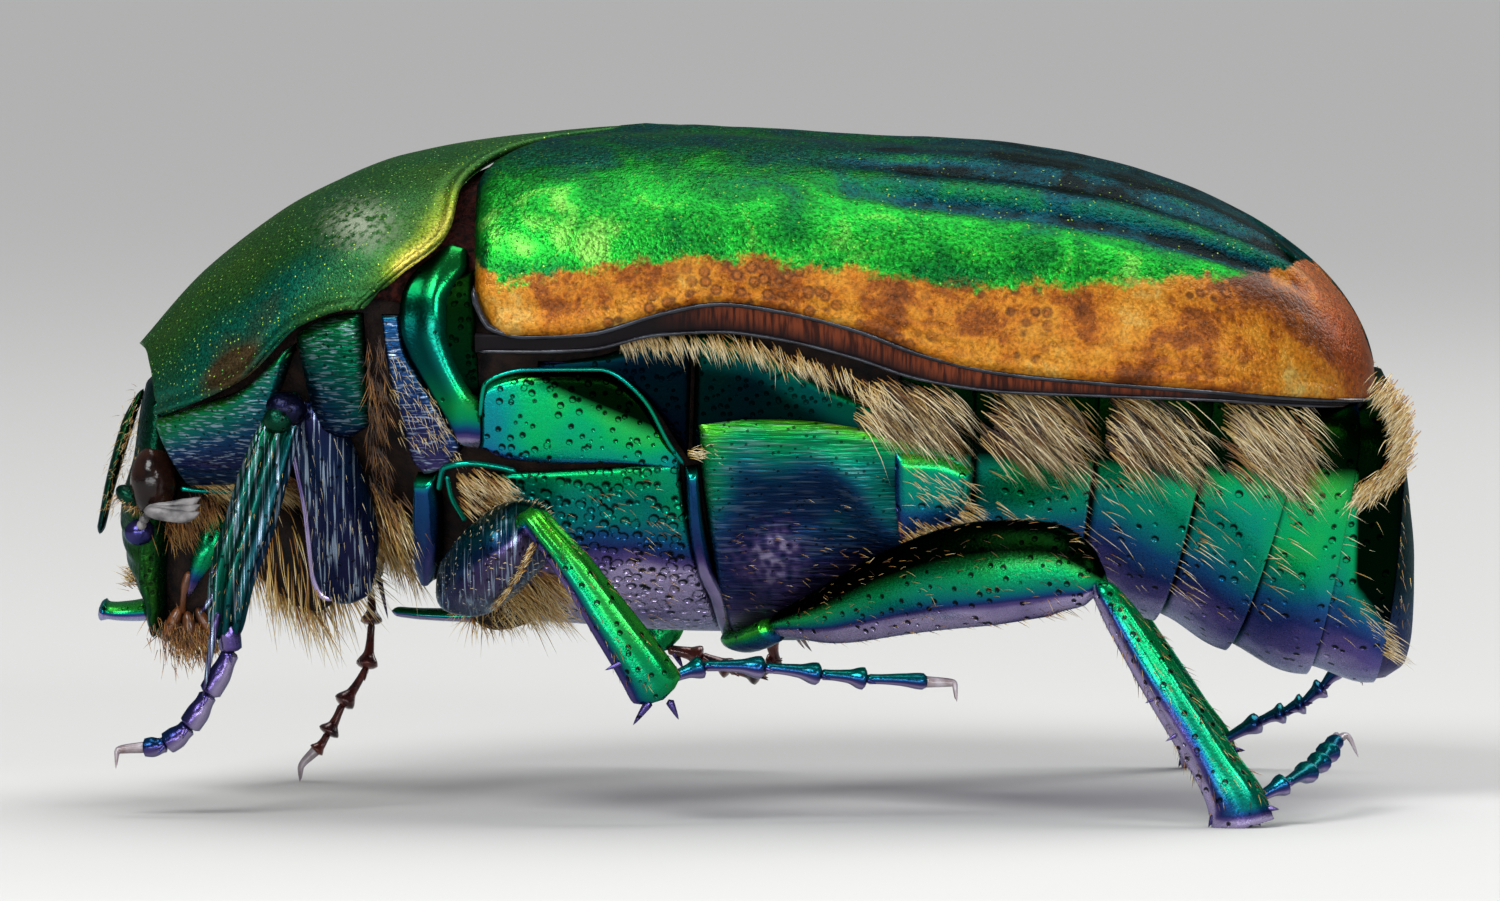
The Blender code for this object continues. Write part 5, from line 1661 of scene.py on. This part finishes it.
# x from first to last and the heights of both edges; tone runs from pale at 0 to black at 1
trunkCoat = {
    "sideFringe": [
        dict(x=(-2.8, 2.6), top=((-2.8, 9.66), (-0.8, 9.6), (0.8, 9.2), (2.6, 8.55)),
             bottom=((-2.8, 9.56), (-0.8, 9.45), (0.8, 9.0), (2.6, 8.3)), count=620, lie=(0.5, 0.1, -1),
             length=(0.2, 0.5), tone=(0.0, 0.35), rise=0.2, scatter=0.1, comb=0.2, clump=5, thick=0.0095)],
    "bellyTufts": [],
    "ringSetae": [
        dict(x=(4.5, 12.2), top=(7.2, 6.6), bottom=((4.5, 4.9), (8.0, 4.4), (12.2, 3.2)), count=300,
             lie=(0.9, 0, -0.5), length=(0.3, 0.65), lift=(8, 20), tone=(-0.1, 0.4), rise=0.08, thick=0.012),
        dict(x=(11.95, 12.6), top=(4.5, 3.6), bottom=(3.6, 3.0), count=70, lie=(0.8, 0, -0.7),
             length=(0.4, 0.8), lift=(4, 12), tone=(0.0, 0.3), rise=0.16, scatter=0.08, thick=0.013)],
    # gold under the collar and round the front hips
    "collarHairs": [
        dict(x=(-11.5, -9.9), top=(6.75, 6.8), bottom=(6.6, 6.4), count=360, lie=(1, 0.1, -0.35),
             length=(0.5, 1.0), tone=gold, rise=0.12, scatter=0.12, comb=0.2, clump=7, thick=0.014),
        dict(x=(-10.3, -8.6), top=(6.9, 6.4), bottom=(6.0, 4.9), count=760, lie=(0.3, 0.0, -1),
             length=(0.7, 1.5), lift=(6, 26), tone=(0.1, 0.8), scatter=0.07, comb=0.2, clump=7),
        dict(x=(-7.75, -7.4), top=(9.6, 9.6), bottom=(6.6, 6.2), count=260, lie=(0.2, 0, -1),
             length=(0.3, 0.6), lift=(8, 28), tone=(0.55, 0.9), rise=0.06, comb=0.25, clump=5, thick=0.01),
        dict(x=(-8.3, -7.1), top=(6.4, 6.4), bottom=(4.9, 4.9), count=360, lie=(0.8, 0.0, -0.6),
             length=(0.5, 1.1), lift=(8, 36), tone=(0.15, 0.65), scatter=0.14, comb=0.3, clump=4,
             thick=0.017),
        dict(x=(-7.3, -5.9), top=(9.4, 7.9), bottom=(7.6, 7.1), count=170, lie=(0.7, 0, -0.9),
             length=(0.16, 0.3), lift=(6, 18), tone=pale, rise=0.12, scatter=0.3, thick=0.006)],
    "breastHairs": [
        dict(x=(-6.0, -5.1), top=(6.95, 6.95), bottom=(6.3, 6.0), count=260, lie=(0.8, 0, -0.5),
             length=(0.35, 0.6), lift=(6, 20), tone=(0.05, 0.45), rise=0.06, scatter=0.1, comb=0.15, clump=6,
             thick=0.013),
        dict(x=(-5.6, -4.2), top=(4.9, 4.9), bottom=(4.2, 3.9), count=480, lie=(0.55, 0.1, -0.8),
             length=(0.5, 1.0), lift=(12, 40), tone=gold, rise=0.05, scatter=0.12, comb=0.25, clump=7,
             thick=0.015),
        dict(x=(-4.0, -1.7), top=(6.8, 6.8), bottom=(3.8, 3.8), count=90, lie=(0.9, 0, -0.4),
             length=(0.15, 0.28), lift=(10, 26), tone=(0.0, 0.6), rise=0.12, scatter=0.3, thick=0.008),
        dict(x=(-1.45, -1.05), top=(7.4, 7.5), bottom=(7.2, 7.2), count=60, lie=(0.9, 0.2, 0.3),
             length=(0.2, 0.4), lift=(14, 40), tone=cream, rise=0.16, scatter=0.3, thick=0.012),
        dict(x=(2.75, 4.2), top=(6.2, 6.5), bottom=(5.6, 6.1), count=240, lie=(0.9, 0, -0.45),
             length=(0.4, 0.7), lift=(6, 22), tone=(0.05, 0.5), rise=0.46, scatter=0.12, comb=0.16, clump=5,
             thick=0.013),
        dict(x=(2.8, 4.1), top=(7.3, 7.0), bottom=(6.4, 6.5), count=70, lie=(0.9, 0, -0.45),
             length=(0.25, 0.45), lift=(6, 20), tone=cream, rise=0.5, scatter=0.25, thick=0.009),
        dict(x=(-0.8, 2.4), top=(5.6, 7.2), bottom=(4.0, 4.2), count=110, lie=(0.7, 0, 0.4),
             length=(0.12, 0.24), lift=(10, 26), tone=(0.1, 0.7), rise=0.26, scatter=0.3, thick=0.008)],
}
for first, last, top, low in ((1.85, 4.05, 8.75, 7.75), (4.35, 6.52, 8.65, 7.35), (6.82, 8.82, 8.5, 7.1),
                              (9.1, 10.95, 8.4, 6.8)):
    tuft = dict(x=(first, last - 0.45), top=((first, top), (last, top - 0.15)),
                bottom=((first, low + 0.2), (last, low - 0.2)), count=700, lie=(0.9, 0.05, -0.5),
                length=(0.55, 1.1), lift=(4, 14), tone=(-0.05, 1.15), rise=0.16, scatter=0.04, comb=0.16,
                clump=5, sag=(0, 0, -0.4), thick=0.01)
    # a few longer hairs over each tuft, painted pale as highlights
    over = dict(tuft, count=36, length=(0.8, 1.2), tone=(-0.25, -0.05), rise=0.24, clump=1, thick=0.014)
    trunkCoat["bellyTufts"] += [tuft, over]

limbCoat = {
    "frontHip": dict(count=380, length=(0.7, 1.4), lift=(8, 26), tone=(0.1, 0.5), lean=(0, 0, -1.6),
                     thick=0.019, scatter=0.14),
    "frontThigh": dict(count=160, length=(0.2, 0.4), lift=(4, 14), tone=(-0.2, 0.0), down=-1.0, scatter=0.05,
                       thick=0.006),
    "frontShin": dict(count=200, length=(0.1, 0.2), lift=(8, 30), tone=(0.0, 0.6), scatter=0.25, thick=0.007),
    "middleThigh": dict(count=420, length=(0.14, 0.24), lift=(6, 18), tone=pale, scatter=0.15, thick=0.009),
    "middleHip": dict(count=260, length=(0.4, 0.9), lift=(10, 40), tone=gold, lean=(0.4, 0.2, -1.0),
                      thick=0.012),
    "middleShin": dict(count=180, length=(0.14, 0.26), lift=(10, 35), tone=(0.2, 1.0), scatter=0.25,
                       thick=0.01),
    "hindThigh": dict(count=480, length=(0.2, 0.38), lift=(8, 24), tone=(0.2, 1.0), scatter=0.3, thick=0.008),
    "hindShin": dict(count=300, length=(0.14, 0.32), lift=(14, 45), tone=(0.2, 1.0), scatter=0.25,
                     thick=0.01),
}

lineCoat = [
    # the golden arc beside the tail plate, and the plate's own short hairs
    ("tailHairs", [(12.45, 3.4, 8.6), (12.85, 3.75, 7.9), (12.85, 3.85, 7.2), (12.5, 3.9, 6.7),
                   (11.9, 4.2, 6.4)],
     dict(count=1300, lie=(-0.75, 0.1, -0.6), length=(0.25, 0.45), lift=(4, 24), tone=(-0.1, 0.5),
          facing=(0.3, 1, 0), blur=0.1, scatter=0.16, thick=0.01)),
    ("tailHairs", [(tailBack(z) - 0.45, 0.8 * tailWidth(z), z) for z in (8.0, 7.0, 6.0, 5.0, 4.0, 3.0)],
     dict(count=110, lie=(0.2, 0.3, -1), length=(0.14, 0.26), lift=(6, 30), tone=(0.1, 0.8),
          facing=(1, 0.4, 0), blur=0.1, scatter=0.3, thick=0.01)),
    # the comb of tufts across the middle thigh
    ("legHairs", [(-4.35, 6.62, 5.7), (-4.62, 6.45, 5.1), (-4.95, 6.1, 4.6), (-5.2, 5.6, 4.25)],
     dict(count=150, lie=(-0.7, 0.5, -0.4), length=(0.14, 0.24), lift=(20, 50), tone=(0.1, 0.5), scatter=0.15,
          thick=0.012, blur=0.03)),
    # beside the brow horn, on the brow, round the eye, on the lip, under the chin and behind the eye
    ("headHairs", [(-12.62, 0.3, 8.2), (-12.8, 0.36, 7.4), (-13.02, 0.36, 6.6), (-13.18, 0.3, 5.9)],
     dict(count=110, lie=(-0.6, 0.5, -0.7), length=(0.12, 0.26), tone=(0.1, 0.5), scatter=0.4, thick=0.006,
          blur=0.1)),
    ("headHairs", [(-12.6, 1.0, 7.9), (-12.62, 1.7, 7.4), (-12.6, 1.9, 6.8)],
     dict(count=60, lie=(-0.4, 0.5, -0.9), length=(0.1, 0.2), tone=(0.0, 0.4), scatter=0.4, thick=0.006,
          blur=0.14)),
    ("headHairs", [(-12.9, 1.8, 6.3), (-12.6, 2.0, 6.1), (-12.4, 2.0, 5.95)],
     dict(count=120, lie=(-0.5, 0.6, -0.5), length=(0.12, 0.24), tone=(0.1, 0.8), scatter=0.35, thick=0.009)),
    ("headHairs", [(-12.55, 0.9, 4.5), (-12.6, 0.5, 4.45), (-12.62, 0, 4.45)],
     dict(count=60, lie=(-1, 0.1, 0.05), length=(0.2, 0.4), tone=gold, scatter=0.25, thick=0.009,
          facing=(0, 0, 1), blur=0.1)),
    ("headHairs", [(-12.0, 1.4, 3.5), (-11.6, 1.5, 3.3), (-11.1, 1.5, 3.4)],
     dict(count=460, lie=(0.2, 0.3, -1), length=(0.18, 0.42), tone=(0.4, 0.66), scatter=0.36, thick=0.012,
          blur=0.2)),
    ("headHairs", [(-11.9, 1.6, 5.6), (-11.4, 1.9, 6.0), (-10.9, 2.0, 6.2)],
     dict(count=240, lie=(0.4, 0.3, -0.9), length=(0.3, 0.7), tone=(0.4, 0.7), scatter=0.3, thick=0.012,
          blur=0.12)),
]


def addCoat():
    groups = {name: [] for name in (*trunkCoat, "legHairs", "tailHairs", "headHairs")}
    for side in (left, right):
        for name, looks in trunkCoat.items():
            for look in looks:
                groups[name] += trunkHairs(side, look)
        for name, look in limbCoat.items():
            groups["legHairs"] += limbHairs(name, side, look)
        for name, points, look in lineCoat:
            groups[name] += lineHairs(points, side, {"lift": (10, 45), **look})
    for name, roots in groups.items():
        addHairs(name, roots)
        say(f"{name}: {len(roots)} hairs")


addCoat()


# the stage

def addStage():
    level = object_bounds()[0].z
    bm = bmesh.new()
    bmesh.ops.create_circle(bm, cap_ends=True, segments=96, radius=6.0)
    bmesh.ops.translate(bm, verts=bm.verts, vec=(0, 0, level))
    mesh = bpy.data.meshes.new("paleFloor")
    bm.to_mesh(mesh)
    bm.free()
    paper = Finish("palePaper",
                   {"Roughness": 0.9, "Base Color": (0.52, 0.52, 0.51, 1.0), "Specular IOR Level": 0.1})
    mesh.materials.append(paper.made)
    addObject("paleFloor", mesh)


def addLamp(name, place, target, size, power):
    data = bpy.data.lights.new(name, "AREA")
    data.shape = "RECTANGLE"
    data.size, data.size_y = size
    data.energy = power
    lamp = addObject(name, data)
    lamp.location = Vector(place)
    lamp.rotation_euler = (Vector(target) - Vector(place)).to_track_quat("-Z", "Y").to_euler()


def addLights():
    target = (0, 0, 0.008)
    addLamp("keyLamp", (-0.10, -0.15, 0.17), target, (0.11, 0.09), 0.48)
    addLamp("sideLamp", (0.12, -0.2, 0.09), target, (0.10, 0.06), 0.28)
    addLamp("lowLamp", (-0.04, -0.24, 0.02), target, (0.26, 0.03), 0.3)
    addLamp("rearLamp", (0.14, 0.14, 0.12), target, (0.10, 0.10), 0.14)
    data = bpy.data.lights.new("softSun", "SUN")
    data.energy = 2.3
    data.angle = math.radians(50)
    addObject("softSun", data).rotation_euler = (math.radians(-14), math.radians(12), 0)
    world = bpy.data.worlds.new("softRoom")
    bpy.context.scene.world = world
    world.use_nodes = True
    wires = Wiring(world.node_tree)
    seen = wires.add("LightPath", {}).outputs["Is Camera Ray"]
    wires.feed(world.node_tree.nodes["Background"],
               {"Color": (0.75, 0.78, 0.82, 1.0), "Strength": wires.remap(seen, 0.0, 1.0, 0.2, 0.72)})


view = {"lens": 250, "sensor": 36.0, "across": 30.0, "lift": 3.0, "middle": (-0.2, -3.0, 7.2)}


def addCamera():
    data = bpy.data.cameras.new("camera")
    data.lens = view["lens"]
    data.sensor_width = view["sensor"]
    camera = addObject("camera", data)
    away = view["across"] / view["sensor"] * view["lens"] * mm
    lift = math.radians(view["lift"])
    middle = Vector(view["middle"]) * mm
    camera.location = middle + Vector((0, -math.cos(lift), math.sin(lift))) * away
    camera.rotation_euler = (math.radians(90) - lift, 0, 0)
    data.clip_start = 0.005
    data.clip_end = 5.0
    bpy.context.scene.camera = camera


bpy.context.scene.view_settings.view_transform = "Standard"
addStage()
addLights()
addCamera()
